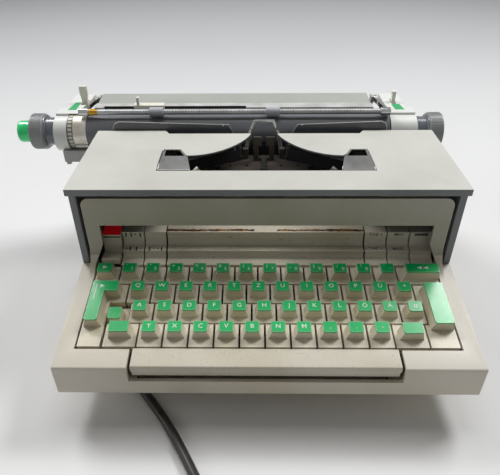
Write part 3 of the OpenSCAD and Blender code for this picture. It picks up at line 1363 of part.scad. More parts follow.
place() lower_case();
place() upper_case();
place() top_cover();
place() base_plate();
place() rubber_feet();
place() base_screws();
place() control_strip();
place() side_frames();
place() cross_shafts();
place() type_segment();
place() type_bars();
place() type_guide();
place() card_plates();
place() spool_guards();
place() ribbon();
place() motor();
place() drive_belt();
place() carriage_rails();
place() number_row_keys();
place() upper_row_keys();
place() home_row_keys();
place() bottom_row_keys();
place() space_bar();
place() shift_keys();
place() shift_lock_key();
place() margin_release_key();
place() tabulator_key();
place() backspace_key();
place() return_key();
place() power_switch();
place() repeat_key();
place() line_space_rocker();
place() spacing_rocker();
place() tab_rocker();
place() impression_rocker();
place() ribbon_rocker();
place() middle_type_bar();
place() ribbon_vibrator();
place() left_ribbon_spool();
place() right_ribbon_spool();
place() motor_pulley();
place() power_roll();
place() carriage_frame();
place() left_end_cover();
place() right_end_cover();
place() paper_table();
place() margin_rail();
place() margin_stop();
place() paper_bail();
place() bail_rollers();
place() platen();
place() platen_shaft();
place() platen_knobs();
place() platen_push_button();
place() carriage_release_lever();
place() paper_release_lever();
place() strain_relief();
place() mains_lead();
place() lead_coil();
place() mains_plug();
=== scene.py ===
"""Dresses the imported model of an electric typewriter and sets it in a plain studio."""

import json
import math

import bmesh
import bpy
from mathutils import Matrix, Vector


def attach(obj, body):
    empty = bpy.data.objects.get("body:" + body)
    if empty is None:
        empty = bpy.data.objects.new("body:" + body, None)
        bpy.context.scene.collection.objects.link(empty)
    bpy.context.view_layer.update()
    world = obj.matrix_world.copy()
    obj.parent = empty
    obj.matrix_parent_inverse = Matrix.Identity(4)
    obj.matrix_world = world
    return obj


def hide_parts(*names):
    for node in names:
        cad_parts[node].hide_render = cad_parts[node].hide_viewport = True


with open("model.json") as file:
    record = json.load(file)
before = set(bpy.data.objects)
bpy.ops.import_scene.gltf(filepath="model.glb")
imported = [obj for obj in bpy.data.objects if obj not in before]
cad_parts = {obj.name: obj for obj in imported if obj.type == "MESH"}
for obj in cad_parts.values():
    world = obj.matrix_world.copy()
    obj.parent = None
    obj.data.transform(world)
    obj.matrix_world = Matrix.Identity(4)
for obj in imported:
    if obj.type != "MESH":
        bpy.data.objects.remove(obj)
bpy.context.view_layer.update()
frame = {"nodes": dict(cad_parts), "record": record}
scene = bpy.context.scene


# Camera
# Stands a little left of the middle in front of the machine and looks down on it by 35 degrees.
# Lens and shift reproduce the photograph's frame of 500 by 475.
lens = bpy.data.cameras.new("camera")
lens.sensor_width = 36
lens.lens = 37.08801822
lens.shift_x = 0.01635290
lens.shift_y = -0.00158042
lens.clip_start = 0.01
camera = bpy.data.objects.new("camera", lens)
camera.location = (0.022884, -0.388903, 0.343183)
camera.rotation_euler = [math.radians(a) for a in (54.84385713, 0.53906368, 0.86401475)]
scene.collection.objects.link(camera)
scene.camera = camera


# Studio
# A wide sheet of white paper under the machine, two soft lights high behind it, one overhead, a
# window at the left and a dim pale room; together they light a level surface to about its colour.
def srgb(code):
    """The linear colour of an sRGB hex value."""
    parts = [int(code[i:i + 2], 16) / 255 for i in (1, 3, 5)]
    return [c / 12.92 if c <= 0.04045 else ((c + 0.055) / 1.055) ** 2.4 for c in parts] + [1]


def feed(tree, node, sources):
    """Links sources to the named inputs of a node: outputs, or nodes for their first one in use."""
    for name, source in sources.items():
        if isinstance(source, bpy.types.Node):
            source = next(output for output in source.outputs if output.enabled)
        tree.links.new(source, node.inputs[name])


def add(tree, kind, inputs=None, **settings):
    """Adds a node with its settings; an input is a value, another node, or one of its outputs."""
    node = tree.nodes.new(kind)
    for name, value in settings.items():
        setattr(node, name, value)
    for name, value in (inputs or {}).items():
        if isinstance(value, (bpy.types.Node, bpy.types.NodeSocket)):
            feed(tree, node, {name: value})
        else:
            node.inputs[name].default_value = value
    return node


def bare_finish(name, constants):
    """A new material, its tree, its shader with its constant values, and the place on the piece."""
    material = bpy.data.materials.new(name)
    material.use_nodes = True
    tree = material.node_tree
    tree.nodes.clear()
    shader = add(tree, "ShaderNodeBsdfPrincipled", constants)
    add(tree, "ShaderNodeOutputMaterial", {"Surface": shader.outputs["BSDF"]})
    return material, tree, shader, add(tree, "ShaderNodeTexCoord").outputs["Object"]


# White paper, matt: faint clouds of 200 mm of painted shade where the sheet isn't quite flat.
paper, tree, shader, place = bare_finish("studio_paper", {"Roughness": 0.9, "IOR": 1.45})
clouds = add(tree, "ShaderNodeTexNoise", {"Vector": place, "Scale": 5, "Detail": 2})
# painted shade: the sheet is whitest in front and falls off to a soft grey behind
depth = add(tree, "ShaderNodeSeparateXYZ", {0: place}).outputs["Y"]
behind = add(tree, "ShaderNodeMapRange", {"Value": depth, "From Min": -0.2, "From Max": 0.9})
white = add(tree, "ShaderNodeMix", {0: clouds, 6: srgb("#F6F6F5"), 7: srgb("#FEFEFE")}, data_type="RGBA")
tone = add(tree, "ShaderNodeMix", {0: behind, 6: white, 7: srgb("#D2D3D5")}, data_type="RGBA")
feed(tree, shader, {"Base Color": tone})

FLOOR_HALF = 6
corners = [(x * FLOOR_HALF, y * FLOOR_HALF, 0) for x, y in ((-1, -1), (1, -1), (1, 1), (-1, 1))]
sheet = bpy.data.meshes.new("studio_floor")
sheet.from_pydata(corners, [], [(0, 1, 2, 3)])
sheet.materials.append(paper)
floor = bpy.data.objects.new("studio_floor", sheet)
scene.collection.objects.link(floor)

room = bpy.data.worlds.new("pale_room")
room.use_nodes = True
room.node_tree.nodes.clear()
path = add(room.node_tree, "ShaderNodeLightPath").outputs
shine = add(room.node_tree, "ShaderNodeMapRange", {
    "Value": path["Is Glossy Ray"], "To Min": 0.10, "To Max": 0.45})
seen = add(room.node_tree, "ShaderNodeMath", {0: path["Is Camera Ray"], 1: shine}, operation="MAXIMUM")
sky = add(room.node_tree, "ShaderNodeBackground", {"Color": srgb("#F6F5F3"), "Strength": seen})
add(room.node_tree, "ShaderNodeOutputWorld", {"Surface": sky})
scene.world = room

LIT_SPOT = Vector((0, 0, 0.05))
for name, power, size, spot in (
        ("right_light", 15.0, (0.60, 0.44), (0.94, 0.63, 1.40)),
        ("left_light", 11.5, (0.60, 0.40), (-0.86, 0.74, 1.39)),
        ("top_light", 6.0, (1.10, 0.50), (0.00, 0.30, 1.80)),
        ("window_light", 3.0, (0.80, 0.80), (-1.50, -0.40, 0.90))):
    lamp = bpy.data.lights.new(name, "AREA")
    lamp.energy = power
    lamp.shape = "RECTANGLE"
    lamp.size, lamp.size_y = size
    light = bpy.data.objects.new(name, lamp)
    light.location = spot
    light.rotation_euler = (LIT_SPOT - Vector(spot)).to_track_quat("-Z", "Y").to_euler()
    scene.collection.objects.link(light)
scene.view_settings.view_transform = "Standard"


# Mains lead
# A round PVC-sheathed lead, 7.5 mm thick, that drops from the strain relief under the tray and
# runs over the table towards the viewer; its unseen length lies in a coil with a tie round it.
LEAD_D = 7.5
RELIEF_TIP = (-114.3, -36, 20)
LEAD_ROUTE = [
    RELIEF_TIP, (-114.3, -42, 19.4), (-113.2, -48, 17), (-110.6, -54.5, 13), (-107, -60.5, 8.8),
    (-102.6, -66.5, 5.6), (-98.2, -72.2, 4.1), (-94, -77.6, 3.8), (-85.4, -88.7, 3.8),
    (-77.2, -100, 3.8), (-70.2, -110.5, 3.8), (-63.6, -121.4, 3.8), (-57.4, -132.2, 3.8),
    (-51.4, -143, 3.8), (-45.6, -153.6, 3.8), (-39.8, -164.2, 3.8), (-34, -174.8, 3.8),
    (-28.2, -185.4, 3.8)]
TURN_GAP = 0.7
COIL_PITCH = LEAD_D + TURN_GAP
COIL_MID_R = 5.5 * LEAD_D
COIL_LOOPS = 3
RINGS_A_TURN = 24
TAIL_LEN = 84
TAIL_STEPS, LEVEL_STEPS, DROP_STEPS = 14, 5, 8
LIE_H = 3.8
PLUG_RISE = 3.5
TAIL_DROP = COIL_PITCH - PLUG_RISE
PLUG_LEN = 36
ORIGIN_X, ORIGIN_Y = 34.95, -50.3


def at(x, y, z):
    """A point given in millimetres from the front edge of the cover, in the frame's metres."""
    return Vector((x + ORIGIN_X, y + ORIGIN_Y, z)) / 1000


def in_mm(point):
    """The way back: a point of the frame, in millimetres from the front edge of the cover."""
    return point.x * 1000 - ORIGIN_X, point.y * 1000 - ORIGIN_Y, point.z * 1000


def smooth(t):
    """A step from 0 to 1 that starts and ends level."""
    t = min(1, max(0, t))
    return t * t * (3 - 2 * t)


lead_end = Vector(LEAD_ROUTE[-1])
coil_dir = (lead_end - Vector(LEAD_ROUTE[-2])).normalized()
coil_side = Vector((coil_dir.y, -coil_dir.x, 0))
coil_centre = lead_end + coil_dir * LEAD_D + coil_side * (COIL_MID_R + COIL_PITCH * COIL_LOOPS / 2)
coil_start = math.atan2(-coil_side.y, -coil_side.x)
winding = []
for step in range(2 * COIL_LOOPS * RINGS_A_TURN + 1):
    wound = step * 360 / RINGS_A_TURN - 360 * COIL_LOOPS
    r = COIL_MID_R - COIL_PITCH * COIL_LOOPS / 2 + COIL_PITCH * abs(wound) / 360
    angle = coil_start - math.radians(wound + 360 * COIL_LOOPS)
    lift = COIL_PITCH * smooth((wound + 90) / 180)
    winding.append(coil_centre + Vector((r * math.cos(angle), r * math.sin(angle), lift)))
tail_dir = Vector((math.cos(angle - math.pi / 2), math.sin(angle - math.pi / 2), 0))
tail = []
for step in range(1, TAIL_STEPS + 1):
    sunk = TAIL_DROP * smooth((step - LEVEL_STEPS) / DROP_STEPS)
    tail.append(winding[-1] + tail_dir * TAIL_LEN * step / TAIL_STEPS - Vector((0, 0, sunk)))
lead_points = [at(*p) for p in LEAD_ROUTE] + [at(*p) for p in winding + tail]

# PVC sheath, extruded: grey, slightly waxy, with faint bends every 30 mm and scuffs.
sheath, tree, shader, place = bare_finish("lead_pvc", {"IOR": 1.53})
clouds = add(tree, "ShaderNodeTexNoise", {"Vector": place, "Scale": 1000 / 30, "Detail": 4})
tone = add(tree, "ShaderNodeMix", {0: clouds, 6: srgb("#262220"), 7: srgb("#38332F")}, data_type="RGBA")
wax = add(tree, "ShaderNodeMapRange", {"Value": clouds, "To Min": 0.2, "To Max": 0.4})
ripple = add(tree, "ShaderNodeTexNoise", {"Vector": place, "Scale": 1000 / 4})
bumps = add(tree, "ShaderNodeBump", {"Height": ripple, "Strength": 0.4, "Distance": 0.0002})
feed(tree, shader, {"Base Color": tone, "Roughness": wax, "Normal": bumps})

line = bpy.data.curves.new("mains_lead_cord", "CURVE")
line.dimensions = "3D"
line.resolution_u = 4
line.bevel_depth = LEAD_D / 2000
line.bevel_resolution = 3
line.use_fill_caps = True
spline = line.splines.new("BEZIER")
spline.bezier_points.add(len(lead_points) - 1)
for knot, point in zip(spline.bezier_points, lead_points):
    knot.co = point
    knot.handle_left_type = knot.handle_right_type = "AUTO"
line.materials.append(sheath)
lead = bpy.data.objects.new("mains_lead_cord", line)
scene.collection.objects.link(lead)

body_of = {n: b for b, members in frame["record"]["behaviour"]["bodies"].items() for n in members}
MERGE_WITHIN = 5e-6
FLAT_WITHIN = math.radians(0.8)


def dressed(node, name, finishes, edge=0.5, choose=None, crease=35):
    """A copy of a CAD node with clean faces and its edges broken by edge millimetres.

    choose says for a face, from its middle and its normal, which of the finishes it gets.
    """
    mesh = frame["nodes"][node].data.copy()
    mesh.name = name
    if "custom_normal" in mesh.attributes:
        mesh.attributes.remove(mesh.attributes["custom_normal"])
    mesh.materials.clear()
    for finish in finishes:
        mesh.materials.append(finish)
    shape = bmesh.new()
    shape.from_mesh(mesh)
    bmesh.ops.remove_doubles(shape, verts=shape.verts, dist=MERGE_WITHIN)
    bmesh.ops.dissolve_limit(shape, angle_limit=FLAT_WITHIN, verts=shape.verts, edges=shape.edges)
    for face in shape.faces:
        face.smooth = True
        face.material_index = choose(face.calc_center_median(), face.normal) if choose else 0
    shape.to_mesh(mesh)
    shape.free()
    mesh.set_sharp_from_angle(angle=math.radians(crease))
    piece = bpy.data.objects.new(name, mesh)
    scene.collection.objects.link(piece)
    if edge:
        broken = piece.modifiers.new("broken_edges", "BEVEL")
        broken.width = edge / 1000
        broken.segments = 2
        broken.limit_method = "ANGLE"
        broken.angle_limit = math.radians(crease)
        broken.harden_normals = True
    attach(piece, body_of[node])
    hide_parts(node)
    return piece


def piece_from(shape, name, finish, body):
    """The piece that a bmesh becomes, in one finish, riding on a body."""
    mesh = bpy.data.meshes.new(name)
    shape.to_mesh(mesh)
    shape.free()
    mesh.materials.append(finish)
    piece = bpy.data.objects.new(name, mesh)
    scene.collection.objects.link(piece)
    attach(piece, body)
    return piece


def edge_bend(tree, radius):
    """1 on a flat face and less along an edge, where a rounded normal leaves the flat one."""
    round_normal = add(tree, "ShaderNodeBevel", {"Radius": radius}, samples=4)
    flat = add(tree, "ShaderNodeNewGeometry").outputs["True Normal"]
    return add(tree, "ShaderNodeVectorMath", {0: round_normal, 1: flat}, operation="DOT_PRODUCT")


def moulded(name, colour, aged, gloss=0.4, dirt="#4A4438", grime=0.35, coat=0.0):
    """ABS from a mould: patches that have yellowed, grime in fine specks, edges paler from rubbing and from
    a painted highlight.
    """
    material, tree, shader, place = bare_finish(name, {
        "IOR": 1.53, "Coat Weight": coat, "Coat Roughness": 0.12})
    clouds = add(tree, "ShaderNodeTexNoise", {"Vector": place, "Scale": 1000 / 55, "Detail": 4})
    patch = add(tree, "ShaderNodeMapRange", {"Value": clouds, "From Min": 0.35, "From Max": 0.7})
    body = add(tree, "ShaderNodeMix", {0: patch, 6: srgb(colour), 7: srgb(aged)}, data_type="RGBA")
    # specks of 1.5 mm: real grime is finer, this is as coarse as the picture needs
    specks = add(tree, "ShaderNodeTexNoise", {"Vector": place, "Scale": 1000 / 1.5, "Detail": 2})
    spots = add(tree, "ShaderNodeMapRange", {"Value": specks, "From Min": 0.6, "From Max": 0.8,
                "To Max": grime})
    dirty = add(tree, "ShaderNodeMix", {0: spots, 6: body, 7: srgb(dirt)}, data_type="RGBA")
    # edges paler over 1.2 mm: partly rubbed wear, partly a painted highlight
    rubbed = add(tree, "ShaderNodeMapRange", {"Value": edge_bend(tree, 0.0012), "From Min": 0.99,
                 "From Max": 0.85, "To Max": 0.35})
    worn = add(tree, "ShaderNodeMix", {0: rubbed, 6: dirty, 7: srgb("#F2EFE6")}, data_type="RGBA",
               blend_type="SCREEN")
    sheen = add(tree, "ShaderNodeMapRange", {"Value": specks, "To Min": gloss - 0.06,
                "To Max": gloss + 0.08})
    # spark-eroded grain of 0.8 mm
    grain = add(tree, "ShaderNodeTexNoise", {"Vector": place, "Scale": 1000 / 0.8, "Detail": 3})
    bumps = add(tree, "ShaderNodeBump", {"Height": grain, "Strength": 0.25, "Distance": 0.00006})
    feed(tree, shader, {"Base Color": worn, "Roughness": sheen, "Normal": bumps})
    return material


def plated(name, colour, rough, scratch=(1000 / 40, 1000 / 2, 1000 / 2), smear=0.12, metal=1.0):
    """Plated or ground metal: bright, with smears from handling and fine lines along its length."""
    material, tree, shader, place = bare_finish(name, {"Metallic": metal})
    clouds = add(tree, "ShaderNodeTexNoise", {"Vector": place, "Scale": 1000 / 18, "Detail": 5})
    tone = add(tree, "ShaderNodeMix", {0: clouds, 6: srgb(colour), 7: srgb("#8C8A86")}, data_type="RGBA",
               blend_type="MULTIPLY")
    along = add(tree, "ShaderNodeMapping", {"Vector": place, "Scale": scratch})
    lines = add(tree, "ShaderNodeTexNoise", {"Vector": along, "Scale": 1, "Detail": 3})
    dull = add(tree, "ShaderNodeMapRange", {"Value": clouds, "To Min": rough, "To Max": rough + smear})
    bumps = add(tree, "ShaderNodeBump", {"Height": lines, "Strength": 0.15, "Distance": 0.00005})
    feed(tree, shader, {"Base Color": tone, "Roughness": dull, "Normal": bumps})
    return material


black_abs = moulded("plug_abs", "#2A2A2B", "#333231", gloss=0.5, dirt="#6A675F")
bright_steel = plated("nickel_plated_steel", "#C9C8C4", 0.22)
# millimetres of play where a face is told from its neighbours by its place
SLACK = 0.2


def pin_or_shell(middle, normal):
    """The plug's two pins are the faces past its moulded body."""
    along = (middle - at(*tail[-1])).dot(tail_dir) * 1000
    return 1 if along > PLUG_LEN + SLACK else 0


plug = dressed("mains_plug", "mains_plug_body", [black_abs, bright_steel], 1.4,
               pin_or_shell)
dressed("strain_relief", "strain_relief_sleeve", [black_abs], 0.3)

# The tie: a flat strip closed round the loops opposite the tail, with its upper corners cut. Its
# outer and inner face are each so far past the turns, and reach from one height to another.
TIE_HALF_W = 3.5
TIE_CORNER = 2
TIE_OUTSIDE, TIE_INSIDE = (0.6, 0.0, 16.6), (0.05, 0.05, 16.1)
tie_angle = coil_start + math.pi * 0.5
tie_out = Vector((math.cos(tie_angle), math.sin(tie_angle), 0))
tie_along = Vector((-tie_out.y, tie_out.x, 0))
inner_r = COIL_MID_R - COIL_PITCH * COIL_LOOPS / 2 - LEAD_D / 2
outer_r = COIL_MID_R + COIL_PITCH * (COIL_LOOPS / 2 + 0.05) + LEAD_D / 2


def tie_loop(past, low, high):
    """The corners of one face of the tie, each as a distance from the coil's middle and a height."""
    r_in, r_out = inner_r - past, outer_r + past
    return [(r_in, low), (r_out, low), (r_out, high - TIE_CORNER), (r_out - TIE_CORNER, high),
            (r_in + TIE_CORNER, high), (r_in, high - TIE_CORNER)]


def tie_point(r, z, side):
    """A corner of the tie, at one of its two edges."""
    return at(*(coil_centre + tie_out * r + tie_along * side)) + Vector((0, 0, z - LIE_H)) / 1000


strip = bmesh.new()
loops = [tie_loop(*TIE_OUTSIDE), tie_loop(*TIE_INSIDE)]
rings = [[[strip.verts.new(tie_point(r, z, side)) for r, z in loop] for loop in loops]
         for side in (-TIE_HALF_W, TIE_HALF_W)]
(left_out, left_in), (right_out, right_in) = rings
for i in range(len(loops[0])):
    j = (i + 1) % len(loops[0])
    for a, b in ((left_out, right_out), (left_in, right_in), (left_out, left_in), (right_out, right_in)):
        strip.faces.new([a[i], a[j], b[j], b[i]])
bmesh.ops.recalc_face_normals(strip, faces=strip.faces)
tie = piece_from(strip, "lead_tie", black_abs, "case")

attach(lead, "case")
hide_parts("mains_lead", "lead_coil")


# Base plate, feet and their screws
# A pressed steel plate closes the tub from below; four turned rubber feet are held to it by
# slotted steel screws from underneath.
def painted(name, colour, aged, gloss=0.42, chip_and_highlight="#5B5B59", peel=1.4, chip_and_highlight_share=0.5):
    """Stoved enamel on steel: faint orange peel, hand marks, and an edge colour: worn steel where that
    colour is dark, a painted highlight where it is pale.
    """
    material, tree, shader, place = bare_finish(name, {
        "IOR": 1.5, "Coat Weight": 0.12, "Coat Roughness": 0.25})
    clouds = add(tree, "ShaderNodeTexNoise", {"Vector": place, "Scale": 1000 / 80, "Detail": 6,
                 "Roughness": 0.6})
    patch = add(tree, "ShaderNodeMapRange", {"Value": clouds, "From Min": 0.38, "From Max": 0.68})
    body = add(tree, "ShaderNodeMix", {0: patch, 6: srgb(colour), 7: srgb(aged)}, data_type="RGBA")
    # the edge colour over 0.9 mm of an edge, in scuffs of 9 mm: paint rubbed thin where it is dark, a
    # painted highlight where it is pale
    scuffs = add(tree, "ShaderNodeTexNoise", {"Vector": place, "Scale": 1000 / 9, "Detail": 5})
    edges = add(tree, "ShaderNodeMapRange", {"Value": edge_bend(tree, 0.0009), "From Min": 0.985,
                "From Max": 0.8})
    thin = add(tree, "ShaderNodeMath", {0: edges, 1: scuffs}, operation="MULTIPLY")
    bare = add(tree, "ShaderNodeMapRange", {"Value": thin, "From Min": 0.45, "From Max": 0.62,
               "To Max": chip_and_highlight_share})
    worn = add(tree, "ShaderNodeMix", {0: bare, 6: body, 7: srgb(chip_and_highlight)}, data_type="RGBA")
    sheen = add(tree, "ShaderNodeMapRange", {"Value": scuffs, "To Min": gloss - 0.08,
                "To Max": gloss + 0.12})
    # orange peel, drawn at peel millimetres
    ripple = add(tree, "ShaderNodeTexNoise", {"Vector": place, "Scale": 1000 / peel, "Detail": 2})
    bumps = add(tree, "ShaderNodeBump", {"Height": ripple, "Strength": 0.2, "Distance": 0.00008})
    feed(tree, shader, {"Base Color": worn, "Roughness": sheen, "Normal": bumps})
    return material


def rubber(name, colour, chalk, rough=0.62, grain_mm=1.2):
    """Moulded rubber, matt and dulled by a chalky bloom in soft patches."""
    material, tree, shader, place = bare_finish(name, {"IOR": 1.52})
    clouds = add(tree, "ShaderNodeTexNoise", {"Vector": place, "Scale": 1000 / 25, "Detail": 5})
    tone = add(tree, "ShaderNodeMix", {0: clouds, 6: srgb(colour), 7: srgb(chalk)}, data_type="RGBA")
    dull = add(tree, "ShaderNodeMapRange", {"Value": clouds, "To Min": rough - 0.1, "To Max": rough + 0.12})
    grain = add(tree, "ShaderNodeTexNoise", {"Vector": place, "Scale": 1000 / grain_mm, "Detail": 3})
    bumps = add(tree, "ShaderNodeBump", {"Height": grain, "Strength": 0.2, "Distance": 0.00008})
    feed(tree, shader, {"Base Color": tone, "Roughness": dull, "Normal": bumps})
    return material


chassis_enamel = painted("chassis_enamel", "#55575A", "#4A4B4D", gloss=0.5)
foot_rubber = rubber("foot_rubber", "#1C1C1D", "#2E2D2B")
dressed("base_plate", "base_plate_sheet", [chassis_enamel], 0.4)
dressed("rubber_feet", "rubber_feet_moulded", [foot_rubber], 0.6)
dressed("base_screws", "base_screws_slotted", [bright_steel], 0.2)


# Side frames and shafts
# Two stamped steel plates with folded feet carry every shaft of the machine; the shafts are
# drawn steel rods, ground where they turn.
frame_steel = plated("zinc_plated_steel", "#A9AAA6", 0.38, smear=0.2)
dressed("side_frames", "side_frame_plates", [frame_steel], 0.25)
dressed("cross_shafts", "cross_shaft_rods", [bright_steel], 0.3)


# Drive
# A cylindrical mains motor in a cradle turns the long power roll through a flat rubber belt. The
# roll is a turned steel shaft with a moulded rubber skin.
motor_enamel = painted("motor_enamel", "#4B4D52", "#3F4145", gloss=0.45)
turned_metal = plated("turned_metal", "#B4B3AE", 0.3, scratch=(1000 / 2, 1000 / 30, 1000 / 30))
roll_rubber = rubber("power_roll_rubber", "#2B2B2C", "#3A3936")
dressed("motor", "motor_can", [motor_enamel], 0.8)
dressed("motor_pulley", "motor_pulley_turned", [turned_metal], 0.3)
dressed("drive_belt", "drive_belt_loop", [roll_rubber], 0.2)


ROLL_Y, ROLL_H = 108, 42
ROLL_LEFT, ROLL_RIGHT = -140, 90
ROLL_SHAFT_R = 5


def from_axis(point, y, z):
    """A point's distance in millimetres from an axis that runs across the machine at y and z."""
    place = in_mm(point)
    return math.hypot(place[1] - y, place[2] - z)


def roll_face(middle, normal):
    """The wide roll is rubber, its shaft and pulley are bare metal."""
    on_roll = from_axis(middle, ROLL_Y, ROLL_H) > ROLL_SHAFT_R
    return 1 if ROLL_LEFT < in_mm(middle)[0] < ROLL_RIGHT and on_roll else 0


dressed("power_roll", "power_roll_covered", [turned_metal, roll_rubber], 0.3, roll_face)


# Type segment, type bars and guide
# A slotted iron segment holds the steel type bars on one wire; each bar ends in a cast slug with
# its character pair, and the guide in front of the platen brings every slug to the same place.
BARS_EACH_SIDE = 21
BAR_STEP = 2.5
BASKET_Y = 118.5
BASKET_H = 137
BASKET_TILT = 40


def section_tree(name, parts):
    """A new tree for geometry with the named inputs in parts, given as name and kind of socket."""
    tree = bpy.data.node_groups.new(name, "GeometryNodeTree")
    for part, kind in parts:
        tree.interface.new_socket(part, in_out="INPUT", socket_type="NodeSocket" + kind)
    tree.interface.new_socket("Geometry", in_out="OUTPUT", socket_type="NodeSocketGeometry")
    return tree, add(tree, "NodeGroupInput").outputs, add(tree, "NodeGroupOutput").inputs


def end_tree(tree, given, made, instances):
    """The end of a tree for geometry: its instances made real and given their finish."""
    solid = add(tree, "GeometryNodeRealizeInstances", {"Geometry": instances})
    finished = add(tree, "GeometryNodeSetMaterial", {"Geometry": solid, "Material": given["finish"]})
    tree.links.new(finished.outputs["Geometry"], made["Geometry"])


def grown(name, tree, sizes, body, place=None):
    """The plain mesh that a tree makes with these sizes, moved to its place, riding on a body."""
    piece = bpy.data.objects.new(name, bpy.data.meshes.new(name))
    scene.collection.objects.link(piece)
    maker = piece.modifiers.new("maker", "NODES")
    maker.node_group = tree
    for item in tree.interface.items_tree:
        if item.in_out == "INPUT":
            maker[item.identifier] = sizes[item.name]
    bpy.context.view_layer.update()
    graph = bpy.context.evaluated_depsgraph_get()
    mesh = bpy.data.meshes.new_from_object(piece.evaluated_get(graph))
    piece.modifiers.clear()
    piece.data = mesh
    mesh.name = name
    if place:
        mesh.transform(place)
    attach(piece, body)
    return piece


segment_iron = painted("blackened_iron", "#4A4E56", "#5B5D61", gloss=0.4, chip_and_highlight="#8A8A8A")
guide_steel = painted("browned_steel", "#544C46", "#3A3633", gloss=0.38, chip_and_highlight="#8E8878")
type_metal = plated("type_bar_steel", "#E4DED0", 0.3, scratch=(1000 / 1.5, 1000 / 20, 1000 / 20))
dressed("type_segment", "type_segment_casting", [segment_iron], 0.2)
dressed("middle_type_bar", "middle_type_bar_steel", [type_metal], 0.15)
dressed("type_guide", "type_guide_plate", [guide_steel], 0.25)

# The basket: the middle bar, turned about the basket's axis by the same step on each side.
tree, given, made = section_tree("type_basket", (
    ("bar", "Object"), ("bars each side", "Int"), ("step", "Float"), ("finish", "Material")))
whole = add(tree, "ShaderNodeMath", {0: given["bars each side"], 1: 2.0, 2: 1.0}, operation="MULTIPLY_ADD")
spots = add(tree, "GeometryNodePoints", {"Count": whole})
place_in_row = add(tree, "ShaderNodeMath", {0: add(tree, "GeometryNodeInputIndex"),
                   1: given["bars each side"]}, operation="SUBTRACT")
turn = add(tree, "ShaderNodeMath", {0: place_in_row, 1: given["step"]}, operation="MULTIPLY")
off_middle = add(tree, "ShaderNodeMath", {0: add(tree, "ShaderNodeMath", {0: place_in_row},
                 operation="ABSOLUTE"), 1: 0.5}, operation="GREATER_THAN")
bar_shape = add(tree, "GeometryNodeObjectInfo", {"Object": given["bar"]}).outputs["Geometry"]
fan = add(tree, "GeometryNodeInstanceOnPoints", {
    "Points": spots, "Selection": off_middle, "Instance": bar_shape,
    "Rotation": add(tree, "ShaderNodeCombineXYZ", {"Z": turn})})
end_tree(tree, given, made, fan)

basket = Matrix.Translation(at(0, BASKET_Y, BASKET_H)) @ Matrix.Rotation(math.radians(BASKET_TILT), 4, "X")
one_bar = bpy.data.objects.new("one_type_bar", bpy.data.objects["middle_type_bar_steel"].data.copy())
one_bar.data.transform(basket.inverted())
scene.collection.objects.link(one_bar)
type_fan = grown("type_bars_fan", tree, {"bar": one_bar, "bars each side": BARS_EACH_SIDE,
                 "step": math.radians(BAR_STEP), "finish": type_metal}, "case", basket)
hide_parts("type_bars")
bpy.data.objects.remove(one_bar)


# Ribbon, spools, vibrator and card plates
# A woven inked ribbon runs from spool to spool over two posts and through the chrome fork that
# lifts it; behind it two dark steel plates hold small cards against the platen.
woven, tree, shader, place = bare_finish("inked_nylon", {
    "Roughness": 0.85, "IOR": 1.5, "Sheen Weight": 0.2})
# threads of 0.5 mm: five times too coarse, so that the weave can be seen at all
THREADS = 1000 / 0.5 / 6.28
weft = add(tree, "ShaderNodeTexWave", {"Vector": place, "Scale": THREADS}, bands_direction="Z").outputs[1]
warp = add(tree, "ShaderNodeTexWave", {"Vector": place, "Scale": THREADS}, bands_direction="X").outputs[1]
cross = add(tree, "ShaderNodeMath", {0: weft, 1: warp}, operation="MULTIPLY")
tone = add(tree, "ShaderNodeMix", {0: cross, 6: srgb("#0C0C10"), 7: srgb("#1E1E26")}, data_type="RGBA")
bumps = add(tree, "ShaderNodeBump", {"Height": cross, "Strength": 0.4, "Distance": 0.0001})
feed(tree, shader, {"Base Color": tone, "Normal": bumps})

chrome = plated("chrome_plate", "#F4F5F7", 0.05, smear=0.09)
# White on the bevels of the vibrator fork and the card plates: a painted highlight along their edges.
highlight_edge = plated("painted_highlight_edge", "#FFFFFF", 0.3, smear=0.2, metal=0.3)
# the card plates' pale edge colour is a painted highlight along their edges
card_enamel = painted("card_plate_enamel", "#606265", "#525457", gloss=0.32, chip_and_highlight="#B9BBBC", chip_and_highlight_share=0.9)
WINDING_LOW, WINDING_HIGH = 118.9, 132


def winding_face(middle, normal):
    """The upright faces between a spool's two flanges are wound ribbon."""
    return 1 if abs(normal.z) < 0.5 and WINDING_LOW < in_mm(middle)[2] < WINDING_HIGH else 0


dressed("ribbon", "ribbon_woven", [woven], 0)
for side in ("left", "right"):
    dressed(side + "_ribbon_spool", side + "_spool_moulded", [black_abs, woven], 0.25,
            winding_face)
fork = dressed("ribbon_vibrator", "ribbon_vibrator_fork", [chrome, highlight_edge], 0.6)
fork.modifiers["broken_edges"].material = 1
plates = dressed("card_plates", "card_plates_enamelled", [card_enamel, highlight_edge], 0.35)
plates.modifiers["broken_edges"].material = 1

PIN_R = 0.9
PIN_PLACES = ((-38.0, 112.2, 151.6), (35.1, 112.2, 152.4))
shape = bmesh.new()
for x, y, z in PIN_PLACES:
    bmesh.ops.create_uvsphere(shape, u_segments=16, v_segments=8, radius=PIN_R / 1000,
                              matrix=Matrix.Translation(at(x, y, z)))
for face in shape.faces:
    face.smooth = True
piece_from(shape, "card_plate_pins", bright_steel, "case")


# Lower case
# The keyboard tray, the tub and the upright panel are one moulding in warm beige ABS, with a
# fillet where the panel rises from the tray.
tray_abs = moulded("tray_abs", "#D9D3C6", "#CFC6B0", gloss=0.38, grime=0.12)
# the panel's darker, yellower finish is painted shade from the cover that overhangs it
panel_shade_abs = moulded("panel_shade_abs", "#AEAA9C", "#9F9A86", gloss=0.36, grime=0.1)
PANEL_FOOT_H = 79
PANEL_Y, PANEL_REACH = 6, 3


